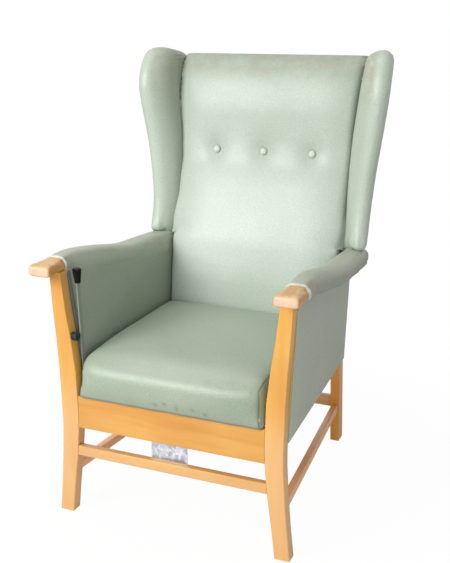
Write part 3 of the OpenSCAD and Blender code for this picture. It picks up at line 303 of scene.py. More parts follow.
def zinc_finish(name):
    """Hot dipped sheet with its crystal spangle."""
    f = Finish(name)
    flat = f.scaled(1.0, 0.2, 0.72)
    spangle = f.cells(150.0, vector=flat, out="Color")
    shade = f.add("ShaderNodeSeparateColor", None, {0: spangle}, out=0)
    edge = f.cells(150.0, "DISTANCE_TO_EDGE", flat)
    streak = f.noise(1.0, rough=0.6, vector=f.scaled(420.0, 420.0, 22.0))
    colour = f.mix(shade, ZINC, ZINC_PALE)
    colour = f.mix(f.step(edge, 0.0, 0.09, 0.22, 0.0), colour, ZINC_EDGE)
    colour = f.mix(f.step(streak, 0.56, 0.74, 0.0, 0.3), colour, ZINC_STREAK)
    rough = f.step(shade, 0.0, 1.0, 0.38, 0.6)
    return f.close(colour=colour, metal=0.55, rough=rough, normal=f.bump(shade, 0.1, 0.2 * MM))


def steel_finish(name):
    """Plain steel, brushed along the rod."""
    f = Finish(name)
    brushed = f.noise(1.0, detail=3.0, rough=0.6, vector=f.scaled(40.0, 1400.0, 1400.0))
    shade = f.mix(f.step(brushed, 0.3, 0.7), STEEL, tuple(share * 0.75 for share in STEEL))
    return f.close(colour=shade, metal=1.0, rough=f.step(brushed, 0.3, 0.7, 0.32, 0.44))


def paint_finish(name, colour, rough, chips=0.0, gloss=0.5):
    """Paint, plastic or rubber with a fine peel and, if asked, chips down to the metal."""
    f = Finish(name)
    peel = f.noise(900.0, detail=2.0)
    cloud = f.step(f.noise(60.0), 0.4, 0.7, 0.0, 0.35)
    shade = f.mix(cloud, colour, tuple(share * 0.72 for share in colour))
    if chips:
        chip = f.step(f.noise(240.0, rough=0.7), 0.68, 0.72, 0.0, chips)
        shade = f.mix(chip, shade, BARE_STEEL)
    rough = f.step(peel, 0.3, 0.7, rough, rough + 0.08)
    return f.close(colour=shade, rough=rough, normal=f.bump(peel, 0.08, 0.2 * MM), gloss=gloss)


# a light of three shares makes a finish lighter or darker than its plain tones: painted light for
# the back and the side stretchers, painted shade for the inner pads, and the material's own tone
# for the rest
FINISHES = {
    # painted light: the back's vinyl is made lighter as a whole, and painted shade darkens its
    # upper parts again
    "vinyl_back": vinyl_finish("vinyl_back", (1.1, 1.1, 1.1)),
    "vinyl_seat": vinyl_finish("vinyl_seat", (0.81, 0.84, 0.77), grime=0.1),
    "vinyl_wing": vinyl_finish("vinyl_wing", (0.97, 0.97, 0.94), grime=0.08),
    "vinyl_arm": vinyl_finish("vinyl_arm", (0.88, 0.86, 0.82), grime=0.25),
    # painted shade: the inner pads carry the arm's vinyl under its full painted shade
    "vinyl_inner": vinyl_finish("vinyl_inner", (0.6, 0.61, 0.56), grime=0.1),
    "vinyl_side": vinyl_finish("vinyl_side", (0.84, 0.81, 0.76), grime=0.12),
    "vinyl_button": vinyl_finish("vinyl_button", (1.12, 1.12, 1.1)),
    "beech_x": beech_finish(
        "beech_x", "X", bare=0.6, bare_top=0.25, light=(0.93, 0.91, 0.84)),
    "beech_y": beech_finish("beech_y", "Y", bare=0.6),
    "beech_z": beech_finish("beech_z", "Z", bare=0.4),
    "beech_rear": beech_finish("beech_rear", "Z", bare=0.05, light=(1.06, 0.86, 0.72)),
    "beech_rail": beech_finish(
        "beech_rail", "X", bare=0.6, bare_top=0.25, light=(0.93, 0.86, 0.86)),
    # painted light: the side stretchers, shaded under the seat, are made lighter
    "beech_side": beech_finish("beech_side", "Y", bare=0.6, light=(1.2, 1.08, 1.15)),
    "raw_wood": raw_wood_finish("raw_wood"),
    "zinc": zinc_finish("zinc"),
    "steel": steel_finish("steel"),
    "grey_paint": paint_finish("grey_paint", tone(126, 132, 123), rough=0.4, chips=0.4),
    "black_paint": paint_finish("black_paint", tone(28, 28, 30), rough=0.35),
    "black_plastic": paint_finish("black_plastic", tone(8, 7, 8), rough=0.2, gloss=0.12),
    "rubber": paint_finish("rubber", tone(30, 40, 34), rough=0.6, gloss=0.3),
}


# making pieces


def only(piece):
    """Selects one object and makes it active."""
    bpy.ops.object.select_all(action="DESELECT")
    piece.select_set(True)
    bpy.context.view_layer.objects.active = piece


def apply_all(piece):
    only(piece)
    for modifier in list(piece.modifiers):
        bpy.ops.object.modifier_apply(modifier=modifier.name)


def dress(piece, finish):
    piece.data.materials.clear()
    piece.data.materials.append(FINISHES[finish])


def copy_node(node, flat=False):
    """A merged copy of a CAD node's mesh, for a piece that replaces it."""
    mesh = NODES[node].data.copy()
    piece = bpy.data.objects.new("look_" + node, mesh)
    bpy.context.scene.collection.objects.link(piece)
    only(piece)
    bpy.ops.object.mode_set(mode="EDIT")
    bpy.ops.mesh.select_all(action="SELECT")
    bpy.ops.mesh.remove_doubles(threshold=0.02 * MM)
    if flat:
        bpy.ops.mesh.dissolve_limited(angle_limit=math.radians(1.0))
    bpy.ops.mesh.normals_make_consistent(inside=False)
    bpy.ops.object.mode_set(mode="OBJECT")
    return piece


def stand_for(piece, node):
    """Puts a piece in the place of its CAD node."""
    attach(piece, BODY_OF[node])
    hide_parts(node)


def eased(node, finish, width, segments=3):
    """A wooden or metal node with its edges rounded."""
    piece = copy_node(node, flat=True)
    bevel = piece.modifiers.new("edge", "BEVEL")
    bevel.width = width
    bevel.segments = segments
    bevel.limit_method = "ANGLE"
    bevel.angle_limit = math.radians(20.0)
    apply_all(piece)
    bpy.ops.object.shade_smooth_by_angle(angle=math.radians(30.0))
    dress(piece, finish)
    stand_for(piece, node)
    return piece


def per_point(piece, what):
    flat = np.empty(len(piece.data.vertices) * 3)
    piece.data.vertices.foreach_get(what, flat)
    return flat.reshape(-1, 3)


def points_of(piece):
    return per_point(piece, "co")


def normals_of(piece):
    return per_point(piece, "normal")


def move_points(piece, places):
    piece.data.vertices.foreach_set("co", places.ravel())
    piece.data.update()


def paint(piece, name, shares):
    """Stores a share between 0 and 1 on every point of a mesh."""
    layer = piece.data.attributes.new(name, "FLOAT", "POINT")
    layer.data.foreach_set("value", np.clip(shares, 0.0, 1.0))


def ramp(values, low, high):
    """A smooth share that is 0 at low and 1 at high."""
    t = np.clip((values - low) / (high - low), 0.0, 1.0)
    return t * t * (3.0 - 2.0 * t)


def peak(offset, width):
    """A share that is 1 where the offset is nought and dies away on both sides."""
    return np.exp(-((offset / width) ** 2))


def outward(side):
    """The sign of x away from the chair's middle; left and right are as seen from in front."""
    return 1.0 if side == "right" else -1.0


def joined(pieces):
    bpy.ops.object.select_all(action="DESELECT")
    for piece in pieces:
        piece.select_set(True)
    bpy.context.view_layer.objects.active = pieces[0]
    bpy.ops.object.join()
    return pieces[0]


def meshed_anew(piece, voxel, rounds):
    """Gives a piece an even mesh and softens it."""
    grid = piece.modifiers.new("grid", "REMESH")
    grid.mode = "VOXEL"
    grid.voxel_size = voxel
    ease = piece.modifiers.new("ease", "SMOOTH")
    ease.factor = 0.5
    ease.iterations = rounds
    apply_all(piece)


def remeshed(nodes, voxel, rounds):
    """A dense, evenly meshed and softened copy of a soft node, with what fills it."""
    piece = joined([copy_node(node) for node in nodes.split()])
    meshed_anew(piece, voxel, rounds)
    bpy.ops.object.shade_smooth()
    return piece


def subdivided(piece, levels):
    finer = piece.modifiers.new("finer", "SUBSURF")
    finer.levels = levels
    finer.render_levels = levels
    apply_all(piece)
    bpy.ops.object.shade_smooth()


def held_soft(piece, name, shares, rounds):
    """Softens a mesh where the share is high."""
    group = piece.vertex_groups.new(name=name)
    for i in np.nonzero(shares > 0.02)[0]:
        group.add([int(i)], float(shares[i]), "REPLACE")
    ease = piece.modifiers.new(name, "SMOOTH")
    ease.factor = 0.5
    ease.iterations = rounds
    ease.vertex_group = name
    apply_all(piece)


def column(count, *values):
    """A table with one row per point, from whole columns and single numbers."""
    return np.column_stack([np.broadcast_to(value, (count,)) for value in values])


# wooden frame

SIDES = ("left", "right")

# the arm: where its bare end and its tail lie, and how wide and high the bare end is
POST_TOP = 655 * MM
NOSE_FRONT = -42 * MM - CAD_Y
NOSE_BACK = -3 * MM - CAD_Y
SLEEVE_START = 34 * MM - CAD_Y
TAIL_START = 592 * MM - CAD_Y
NOSE_INSIDE = 284 * MM
NOSE_OUTSIDE = 341.5 * MM
NOSE_TOP = [677 * MM, 680 * MM, 684 * MM]
NOSE_TOP_AT = [NOSE_FRONT, NOSE_FRONT + 14 * MM, SLEEVE_START]
# the underside of the arm and its middle line, from the nose to the tail
ARM_LOW_Y = [v * MM - CAD_Y for v in (-42, 37, 99, 178, 257, 341, 452, 574, 665)]
ARM_LOW_Z = [v * MM for v in (655, 655, 648, 636.4, 622.8, 611.6, 603, 596, 593)]
ARM_MIDDLE_X = [v * MM for v in (312, 312, 310, 307, 305, 304, 301, 298, 290)]
# further out than any point of the chair
FAR_OFF = 9.0


def rounded_box(p, low, high, radius):
    """Turns a box's points into those of a box with oval edges, radius by axis and side."""
    middle = np.clip(p, low + radius[0], high - radius[1])
    off = p - middle
    part = off / np.where(off < 0, radius[0], radius[1])
    level = np.abs(part).max(axis=1, keepdims=True)
    length = np.maximum(np.linalg.norm(part, axis=1, keepdims=True), 1e-9)
    return middle + off * level / length


def slice_box(p, step):
    """The x and z limits of a long piece around each of its points, slice by slice along y."""
    at = (p[:, 1] - p[:, 1].min()) / step
    slot = at.astype(int)
    where = np.arange(slot.max() + 1)
    low, high = [], []
    for axis in (0, 2):
        small = np.full(len(where), FAR_OFF)
        large = np.full(len(where), -FAR_OFF)
        np.minimum.at(small, slot, p[:, axis])
        np.maximum.at(large, slot, p[:, axis])
        low.append(np.interp(at - 0.5, where, small))
        high.append(np.interp(at - 0.5, where, large))
    return np.column_stack(low), np.column_stack(high)


def knuckle_rounding(p):
    """The oval edges of the arm's front stretch, tighter at the very front."""
    edge = np.interp(p[:, 1], [NOSE_FRONT, SLEEVE_START], [5 * MM, 13 * MM])
    return column(len(p), edge, 4 * MM), column(len(p), edge, edge)


def fit_box(p, low, high, new_low, new_high, share):
    """Scales x and z from one box to another, as far as the share says, and rounds the edges."""
    part = (p[:, [0, 2]] - low) / np.maximum(high - low, 1e-6)
    share = share[:, None]
    new_low = low + (new_low - low) * share
    new_high = high + (new_high - high) * share
    moved = new_low + part * (new_high - new_low)
    domed = rounded_box(moved, new_low, new_high, knuckle_rounding(p))
    p[:, [0, 2]] = np.where(share > 0, moved + (domed - moved) * share, p[:, [0, 2]])
    return p


def make_arm_rail(side):
    """The wooden arm, with its bare end rounded and worn."""
    away = outward(side)
    piece = remeshed("arm_rail_" + side, voxel=2.2 * MM, rounds=2)
    p = points_of(piece)
    low, high = slice_box(p, step=2.5 * MM)
    bare = ramp(p[:, 1], SLEEVE_START + 14 * MM, SLEEVE_START + 8 * MM)
    near, far = sorted((away * NOSE_INSIDE, away * NOSE_OUTSIDE))
    new_low = column(len(p), near, POST_TOP)
    new_high = column(len(p), far, np.interp(p[:, 1], NOSE_TOP_AT, NOSE_TOP))
    move_points(piece, fit_box(p, low, high, new_low, new_high, bare))
    # the bare end goes soft wherever the post doesn't hold it
    above = ramp(p[:, 2], POST_TOP + 4 * MM, POST_TOP + 14 * MM)
    in_front = ramp(p[:, 1], NOSE_BACK, NOSE_BACK - 10 * MM)
    bare = ramp(p[:, 1], SLEEVE_START + 12 * MM, SLEEVE_START + 6 * MM)
    held_soft(piece, "nose", np.maximum(above, in_front) * bare, rounds=38)
    # softening shrinks the nose, so it is filled out again, and the rest draws in under the cover
    p = points_of(piece)
    n = normals_of(piece)
    bulge = ramp(p[:, 1], NOSE_FRONT + 30 * MM, NOSE_FRONT + 10 * MM) * 2.6
    bulge -= ramp(p[:, 1], SLEEVE_START + 6 * MM, SLEEVE_START + 14 * MM) * 3.5
    move_points(piece, p + n * (bulge * MM)[:, None])
    front = ramp(n[:, 1], -0.5, -0.85)
    paint(piece, "worn", front * ramp(p[:, 2], POST_TOP + 27 * MM, POST_TOP + 21 * MM))
    upper = ramp(n[:, 2], 0.2, 0.7)
    scuffed = ramp(p[:, 1], SLEEVE_START + 4 * MM, SLEEVE_START - 20 * MM)
    paint(piece, "scuff", scuffed * upper * 0.9)
    # painted shade where the bare end goes into the cover: on its sides and along its foot above
    # the post
    flank = ramp(np.abs(n[:, 0]), 0.45, 0.9) * 0.55
    rim = ramp(p[:, 2], POST_TOP + 4 * MM, POST_TOP + 1 * MM) * 0.5
    at_cover = ramp(p[:, 1], SLEEVE_START + 10 * MM, SLEEVE_START)
    paint(piece, "seam_and_shade", np.maximum(flank, rim) * at_cover)
    dress(piece, "beech_y")
    stand_for(piece, "arm_rail_" + side)


for side in SIDES:
    post = eased("front_leg_" + side, "beech_z", 2.2 * MM)
    if side == "left":
        # in the photo the left post is darker near its top
        paint(post, "seam_and_shade", ramp(points_of(post)[:, 2], 600 * MM, POST_TOP) * 0.32)
    eased("rear_leg_" + side, "beech_rear", 2.0 * MM)
    eased("side_stretcher_" + side, "beech_side", 1.8 * MM)
    eased("side_rail_" + side, "raw_wood", 1.5 * MM)
    make_arm_rail(side)
    eased("corner_block_" + side, "raw_wood", 1.0 * MM)
    eased("back_upright_" + side, "raw_wood", 1.5 * MM)
    eased("side_board_" + side, "raw_wood", 0.5 * MM, segments=1)
eased("front_rail", "beech_rail", 1.8 * MM)
for node in ("front_stretcher", "rear_stretcher", "rear_rail"):
    eased(node, "beech_x", 1.8 * MM)
for node in ("back_top_rail", "back_middle_rail", "back_lower_rail", "seat_rest_rail"):
    eased(node, "raw_wood", 1.2 * MM)


# inside back

BUTTON_Z = 879 * MM
BUTTON_X = 146 * MM
# the line down the right side where the face starts to fall away to the wing
GROOVE_Z = [660 * MM, 900 * MM, 1150 * MM]
GROOVE_X = [228 * MM, 233 * MM, 244 * MM]


def make_back():
    """The sprung inside back: tight vinyl drawn in by three buttons."""
    piece = remeshed("inside_back", voxel=5.5 * MM, rounds=5)
    p = points_of(piece)
    plain = ramp(-normals_of(piece)[:, 1], 0.2, 0.5)
    plain *= ramp(np.abs(p[:, 0]), 262 * MM, 240 * MM)
    held_soft(piece, "front", plain, rounds=40)
    p = points_of(piece)
    front = normals_of(piece)[:, 1] < -0.3
    # the face falls away at both edges, more at the right one, as the photo shows
    edge = np.clip(np.abs(p[:, 0]) / (272 * MM), 0.0, 1.0)
    groove = p[:, 0] - np.interp(p[:, 2], GROOVE_Z, GROOVE_X)
    depth = (13 - 4 * ramp(p[:, 2], 950 * MM, 1100 * MM)) * MM
    fall = 9 * MM * edge**4 + depth * ramp(groove, 0.0, 34 * MM) ** 2
    p[:, 1] += np.where(front, fall * ramp(p[:, 2], 660 * MM, 750 * MM), 0.0)
    # each button's hollow is drawn out upwards
    push = np.zeros(len(p))
    for x in (-BUTTON_X, 0.0, BUTTON_X):
        above = np.where(p[:, 2] > BUTTON_Z, 46 * MM, 24 * MM)
        wide = np.hypot((p[:, 0] - x) / (34 * MM), (p[:, 2] - BUTTON_Z) / above)
        push += 6.5 * MM * np.exp(-(wide**1.6))
    swell = 0.8 * MM * np.sin(p[:, 0] * 31 + 1.0) * np.sin(p[:, 2] * 17 + 0.4)
    p[:, 1] += np.where(front, push + swell, 0.0)
    # the shoulders come down on the arms and fill up to the wings
    side = np.sign(p[:, 0]) * ramp(np.abs(p[:, 0]), 236 * MM, 262 * MM)
    fill = np.where(p[:, 0] < 0, 7.0, 1.0) * MM
    filled = ramp(p[:, 2], 640 * MM, 645 * MM) * ramp(p[:, 2], 760 * MM, 680 * MM)
    lowered = ramp(p[:, 2], 700 * MM, 650 * MM) * ramp(p[:, 2], 630 * MM, 640 * MM)
    p[:, 0] += side * fill * filled
    p[:, 2] -= np.abs(side) * 14.0 * MM * lowered
    move_points(piece, p)
    paint(piece, "dirt", ramp(p[:, 2], 1050 * MM, 1140 * MM) * 0.4)
    # painted shade: darker higher up, most across the top roll, and towards the right side
    painted_shade = 0.5 * ramp(p[:, 2], 680 * MM, 850 * MM)
    painted_shade += 0.2 * ramp(p[:, 2], 900 * MM, 1020 * MM)
    painted_shade += 0.6 * ramp(p[:, 2], 1070 * MM, 1150 * MM)
    paint(piece, "painted_shade", painted_shade + 0.25 * ramp(p[:, 0], 150 * MM, 250 * MM))
    # painted shadow along both side edges, in the grooves towards the wings
    turned = normals_of(piece)[:, 0]
    right_edge = ramp(turned, 0.4, 0.75) * ramp(groove, 16 * MM, 28 * MM)
    edge = np.maximum(right_edge, ramp(-turned, 0.6, 0.85))
    paint(piece, "seam_and_shade", edge * ramp(p[:, 2], 600 * MM, 660 * MM) * 0.75)
    dress(piece, "vinyl_back")
    stand_for(piece, "inside_back")


# seat cushion

SEAT_HALF = 246 * MM
SEAT_FRONT = -1 * MM - CAD_Y
SEAT_REAR = 515.6 * MM - CAD_Y
SEAT_LOW = 336.6 * MM
SEAT_EDGE_TOP = 446 * MM
SEAT_CROWN = 13 * MM
SEAT_CUTS = 59
COVER_WALL = 4.5 * MM
# the pocket that the seat board fills, and how low its roof may come
POCKET = 24.4 * MM
POCKET_ROOF = 24.2 * MM
SEAM_X = 240.4 * MM
# dark marks low on the front: x, height and size in mm
SMUDGES = (
    (-27, 357, 5), (0, 362, 4), (32, 355, 6), (36, 366, 3), (72, 359, 5), (106, 352, 6))


def cushion_block():
    """A finely cut block with a pocket in its underside and cuts beside both seams."""
    middle = (0.0, (SEAT_FRONT + SEAT_REAR) / 2, (SEAT_LOW + SEAT_EDGE_TOP) / 2)
    bpy.ops.mesh.primitive_cube_add(size=1.0, location=middle)
    piece = bpy.context.object
    piece.name = "look_seat_cushion"
    piece.scale = (SEAT_HALF * 2, SEAT_REAR - SEAT_FRONT, SEAT_EDGE_TOP - SEAT_LOW)
    bpy.ops.object.transform_apply(location=True, rotation=False, scale=True)
    bpy.ops.object.mode_set(mode="EDIT")
    bpy.ops.mesh.select_all(action="SELECT")
    bpy.ops.mesh.subdivide(number_cuts=SEAT_CUTS)
    for seam_and_shade in (-SEAM_X, SEAM_X):
        for off in (-1.2 * MM, 0.0, 1.2 * MM):
            bpy.ops.mesh.select_all(action="SELECT")
            bpy.ops.mesh.bisect(plane_co=(seam_and_shade + off, 0.0, 0.0), plane_no=(1.0, 0.0, 0.0))
    work = bmesh.from_edit_mesh(piece.data)
    for face in work.faces:
        face.select_set(face.normal.z < -0.9)
    bmesh.update_edit_mesh(piece.data)
    bpy.ops.mesh.inset(thickness=COVER_WALL)
    bpy.ops.mesh.extrude_region_move(TRANSFORM_OT_translate={"value": (0.0, 0.0, POCKET)})
    bpy.ops.object.mode_set(mode="OBJECT")
    return piece


def rounded_seat(p, u, v, height):
    """Rounds the block's corners, less so low down, rolls its upper edges and domes its top."""
    count = len(p)
    low = np.array([-SEAT_HALF, SEAT_FRONT, SEAT_LOW])
    high = np.array([SEAT_HALF, SEAT_REAR, SEAT_EDGE_TOP])
    tall = ramp(height, 0.0, 0.45)
    side_round = (13 + 13 * tall) * MM
    near = column(count, side_round, (15 + 33 * tall) * MM)
    far = column(count, side_round, 20 * MM)
    shaped = p.copy()
    shaped[:, :2] = rounded_box(p[:, :2], low[:2], high[:2], (near, far))
    rise = 24 * MM + 30 * MM * ramp(v, 0.3, 0.0)
    near = column(count, 26 * MM, 48 * MM, 1 * MM)
    far = column(count, 26 * MM, 20 * MM, rise)
    rolled = rounded_box(p, low, high, (near, far))
    upper = p[:, 2] > SEAT_EDGE_TOP - rise
    shaped[upper] = rolled[upper]
    dome = np.clip((1 - np.abs(u) ** 2.6) * (1 - np.abs(2 * v - 1) ** 3.2), 0, 1)
    dome *= SEAT_CROWN * ramp(p[:, 2], SEAT_EDGE_TOP - rise, SEAT_EDGE_TOP)
    shaped[:, 2] += np.where(upper, dome, 0.0)
    return shaped


def make_cushion():
    """The sprung seat: a domed top, a rolled front edge and a cover that hangs over the board."""
    piece = cushion_block()
    p = points_of(piece)
    u = p[:, 0] / SEAT_HALF
    v = (p[:, 1] - SEAT_FRONT) / (SEAT_REAR - SEAT_FRONT)
    height = (p[:, 2] - SEAT_LOW) / (SEAT_EDGE_TOP - SEAT_LOW)
    inner = COVER_WALL * 0.9
    inside = (np.abs(p[:, 0]) < SEAT_HALF - inner) & (p[:, 2] < SEAT_LOW + POCKET * 1.02)
    inside &= (p[:, 1] > SEAT_FRONT + inner) & (p[:, 1] < SEAT_REAR - inner)
    face = (p[:, 1] < SEAT_FRONT + 1 * MM) & ~inside
    top = p[:, 2] > SEAT_EDGE_TOP - 1 * MM
    shaped = rounded_seat(p, u, v, height)
    # the cover rises behind the front edge, clear of the rail and the rest pads
    lift = ramp(shaped[:, 1], SEAT_FRONT + 4.6 * MM, SEAT_FRONT + 12 * MM) * 7.5 * MM
    shaped[:, 2] += np.where(p[:, 2] < SEAT_LOW + 1 * MM, lift, 0.0)
    shaped[inside, 2] = np.maximum(shaped[inside, 2], SEAT_LOW + POCKET_ROOF)
    # the front swells a little between the corners, and its upper edge goes soft
    swell = 9.0 * MM * np.sin(np.clip(height, 0, 1) ** 0.8 * math.pi) * (1 - u**6)
    shaped[:, 1] -= np.where(face, swell, 0.0)
    move_points(piece, shaped)
    roll = ramp(v, 0.3, 0.16) * ramp(height, 0.05, 0.3) * ~inside
    held_soft(piece, "roll", roll, rounds=36)
    # ripples low on the front, slow waves on the top, and a seam that sinks in
    shaped = points_of(piece)
    ripple = np.sin(p[:, 0] * 47 + 0.6) * np.sin(p[:, 0] * 21 + 2.0)
    ripple += 0.6 * np.sin(p[:, 0] * 90 + p[:, 2] * 25)
    shaped[:, 1] += np.where(face, 0.9 * MM * ripple * ramp(height, 0.75, 0.1), 0.0)
    waves = np.sin(p[:, 0] * 26 + p[:, 1] * 9) * np.sin(p[:, 1] * 19 + 1.0)
    shaped[:, 2] += np.where(top, 0.9 * MM * waves, 0.0)
    seam_and_shade = ramp(np.abs(np.abs(p[:, 0]) - SEAM_X), 1.4 * MM, 0.0)
    seam_and_shade *= np.where(inside | (height < 0.02), 0.0, 1.0)
    inward = column(len(p), 0.0, face * 1.0, top * -1.0)
    move_points(piece, shaped + inward * seam_and_shade[:, None] * 2.2 * MM)
    bpy.ops.object.shade_smooth_by_angle(angle=math.radians(60.0))
    # wear, with a painted shadow line, a painted highlight and painted shade
    shaped = points_of(piece)
    n = normals_of(piece)
    smudge = np.zeros(len(p))
    for x, z, size in SMUDGES:
        off = np.hypot(shaped[:, 0] - x * MM, shaped[:, 2] - z * MM)
        smudge += peak(off, size * MM) * 0.4
    # a painted shadow line along the bottom of the front, the seams' dark lines and dark smudges
    lower_line = ramp(height, 0.07, 0.02) * face * 0.55
    paint(piece, "seam_and_shade", np.maximum(seam_and_shade * 0.75, lower_line) + smudge * face)
    paint(piece, "dirt", ramp(height, 0.3, 0.0) * face * 0.25)
    # a painted highlight along the left part of the rolled front edge
    edge = ramp(n[:, 2], 0.35, 0.6) * ramp(n[:, 2], 0.97, 0.85) * ramp(-n[:, 1], 0.1, 0.3)
    paint(piece, "wear_and_highlight", edge * ramp(p[:, 0], -250 * MM, -60 * MM) * 0.1)
    # painted shade on the front, more to the right and towards the bottom
    painted_shade = 0.72 + 0.3 * ramp(p[:, 0], 0.0, 240 * MM) + 0.2 * ramp(height, 0.5, 0.1)
    paint(piece, "painted_shade", ramp(-n[:, 1], 0.15, 0.8) * painted_shade)
    dress(piece, "vinyl_seat")
    stand_for(piece, "seat_cushion")


# wings

# how soiled a wing is, how strong the painted shade on its inner face is, and where that painted
# shade starts and ends
WING_GRIME = {"left": 0.35, "right": 0.6}
WING_SHADE = {"left": 1.0, "right": 0.6}
WING_SHADE_AT = {"left": (8 * MM, 50 * MM), "right": (40 * MM, 100 * MM)}


def front_line(p, low):
    """How far forward a piece reaches at each point's height, evened out over 50 mm."""
    level = ((p[:, 2] - low) / (10 * MM)).astype(int)
    levels = range(level.max() + 1)
    reach = [p[level == k, 1].min() if (level == k).any() else 0.0 for k in levels]
    return np.convolve(np.pad(reach, 2, mode="edge"), np.ones(5) / 5, mode="valid")[level]


def make_wing(side):
    """A padded wing with a seam down its outer face, close behind the front edge."""
    away = outward(side)
    piece = remeshed("wing_%s wing_board_%s" % (side, side), voxel=4.0 * MM, rounds=70)
    p = points_of(piece)
    n = normals_of(piece)
    low, top = p[:, 2].min(), p[:, 2].max()
    # softening took some of the front and the outer face, which is given back
    crown = ramp(p[:, 2], top - 60 * MM, top)
    inward = ramp(p[:, 0] * away, 330 * MM, 275 * MM)
    rearward = ramp(p[:, 1], 290 * MM, 380 * MM)
    p += n * (3.5 * MM * ramp(-n[:, 1] + n[:, 0] * away, -0.3, 0.3))[:, None]
    p[:, 2] -= crown * np.maximum(inward * 14 * MM, rearward * 8 * MM)
    # a full roll along the front of the inner face
    front = front_line(p, low)
    bulge = np.sin(np.clip((p[:, 1] - front) / (100 * MM), 0.0, 1.0) * math.pi)
    p[:, 0] -= away * bulge * 11 * MM * ramp(-n[:, 0] * away, 0.0, 0.6)
    move_points(piece, p)
    roll = ramp(-n[:, 0] * away, -0.6, 0.0) * ramp(p[:, 1] - front, 75 * MM, 50 * MM)
    held_soft(piece, "roll", roll, rounds=60)
    p = points_of(piece)
    n = normals_of(piece)
    roll = ramp(-n[:, 0] * away, -0.6, 0.0) * ramp(p[:, 1] - front, 75 * MM, 50 * MM)
    p += n * (2.5 * MM * roll)[:, None]
    # the seam on the outer face, with a lip in front of it
    off = p[:, 1] - front - 34 * MM
    flank = ramp(n[:, 0] * away, 0.2, 0.6)
    seam_and_shade = peak(off, 2.6 * MM) * flank
    lip = peak(off + 6 * MM, 4 * MM) * flank
    p[:, 0] += away * (lip * 1.2 - seam_and_shade * 2.2) * MM
    # behind the front roll the foot reaches down and in, so that no light shows past it
    foot = ramp(p[:, 1] - front, 22 * MM, 40 * MM) * ramp(-n[:, 0] * away, -0.8, 0.2)
    foot *= ramp(p[:, 2], low + 40 * MM, low + 12 * MM)
    p[:, 2] -= foot * 16 * MM
    p[:, 0] -= away * foot * 8 * MM
    gather = ramp(p[:, 2], low + 60 * MM, low + 8 * MM)
    p[:, 1] += gather * 1.6 * MM * np.sin(p[:, 0] * 300)
    move_points(piece, p)
    inner = ramp(-n[:, 0] * away, 0.1, 0.6)
    upper = ramp(p[:, 2], top - 190 * MM, top - 10 * MM)
    # the seam's dark line, and painted shade on the foot behind the front roll
    paint(piece, "seam_and_shade", np.maximum(seam_and_shade * 0.35, foot * 0.9))
    paint(piece, "dirt", upper * WING_GRIME[side] * inner)
    # painted shade over the inner face behind its front roll
    paint(piece, "painted_shade", inner * ramp(p[:, 1] - front, *WING_SHADE_AT[side]) * WING_SHADE[side])
    # the lip in front of the seam gets pale wear and a painted highlight
    paint(piece, "wear_and_highlight", lip * ramp(p[:, 2], top - 160 * MM, top - 40 * MM) * 0.5)
    dress(piece, "vinyl_wing")
    stand_for(piece, "wing_" + side)


# arm covers

# the band down the inner side: how low it starts at y 0, and how it slopes to the rear
BAND_LOW = 585 * MM
BAND_SLOPE = 0.09
# brown streaks on the right arm: the CAD y of their middles, and how long they are
STREAKS = ((90 * MM, 45 * MM), (330 * MM, 30 * MM))


def cut_off(piece, normal, *places):
    """Cuts a piece off at the first place, closes it there, and adds edges at the others."""
    only(piece)
    bpy.ops.object.mode_set(mode="EDIT")
    for number, place in enumerate(places):
        first = number == 0
        bpy.ops.mesh.select_all(action="SELECT")
        bpy.ops.mesh.bisect(plane_co=place, plane_no=normal, use_fill=first, clear_inner=first)
    bpy.ops.object.mode_set(mode="OBJECT")


def cut_front(piece, *stations):
    cut_off(piece, (0.0, 1.0, 0.0), *[(0.0, y, 0.0) for y in stations])


def joined_arm_cover(side):
    """The arm's padding, the wooden arm in it and the top of the inner side, as one soft form."""
    band = copy_node("inner_pad_" + side)
    cut_off(band, (0.0, BAND_SLOPE, 1.0), (0.0, 0.0, BAND_LOW))
    core = copy_node("arm_rail_" + side)
    cut_front(
        core, SLEEVE_START, SLEEVE_START + 60 * MM, SLEEVE_START + 90 * MM,
        TAIL_START, TAIL_START + 24 * MM)
    wood = points_of(core)
    wrap = ramp(wood[:, 1], TAIL_START, TAIL_START + 24 * MM) * 4.9 - 2.5
    wrap += ramp(wood[:, 1], SLEEVE_START + 90 * MM, SLEEVE_START + 60 * MM) * 3.5
    move_points(core, wood + normals_of(core) * (wrap * MM)[:, None])
    piece = joined([copy_node("arm_pad_" + side), core, band])
    meshed_anew(piece, voxel=3.0 * MM, rounds=5)
    cut_front(piece, SLEEVE_START, SLEEVE_START + 2 * MM)
    bpy.ops.object.shade_smooth()
    return piece


def fit_to_knuckle(piece, away):
    """Gives the front of the cover the section of the bare end, blended in over 110 mm."""
    p = points_of(piece)
    low, high = slice_box(p, step=4 * MM)
    # the band on the inner side isn't part of the arm's own section
    inner_low = np.maximum(np.where(away > 0, low[:, 0], -high[:, 0]), NOSE_INSIDE - 6 * MM)
    if away > 0:
        low[:, 0] = inner_low
    else:
        high[:, 0] = -inner_low
    base = np.interp(p[:, 1], ARM_LOW_Y, ARM_LOW_Z)
    low[:, 1] = base - 2 * MM
    near, far = sorted((away * (NOSE_INSIDE - 2 * MM), away * (NOSE_OUTSIDE + 2.5 * MM)))
    new_low = column(len(p), near, low[:, 1])
    new_high = column(len(p), far, NOSE_TOP[-1] + 3 * MM)
    share = ramp(p[:, 1], SLEEVE_START + 110 * MM, SLEEVE_START)
    share *= ramp(p[:, 2], base - 10 * MM, base - 3 * MM)
    move_points(piece, fit_box(p, low, high, new_low, new_high, share))


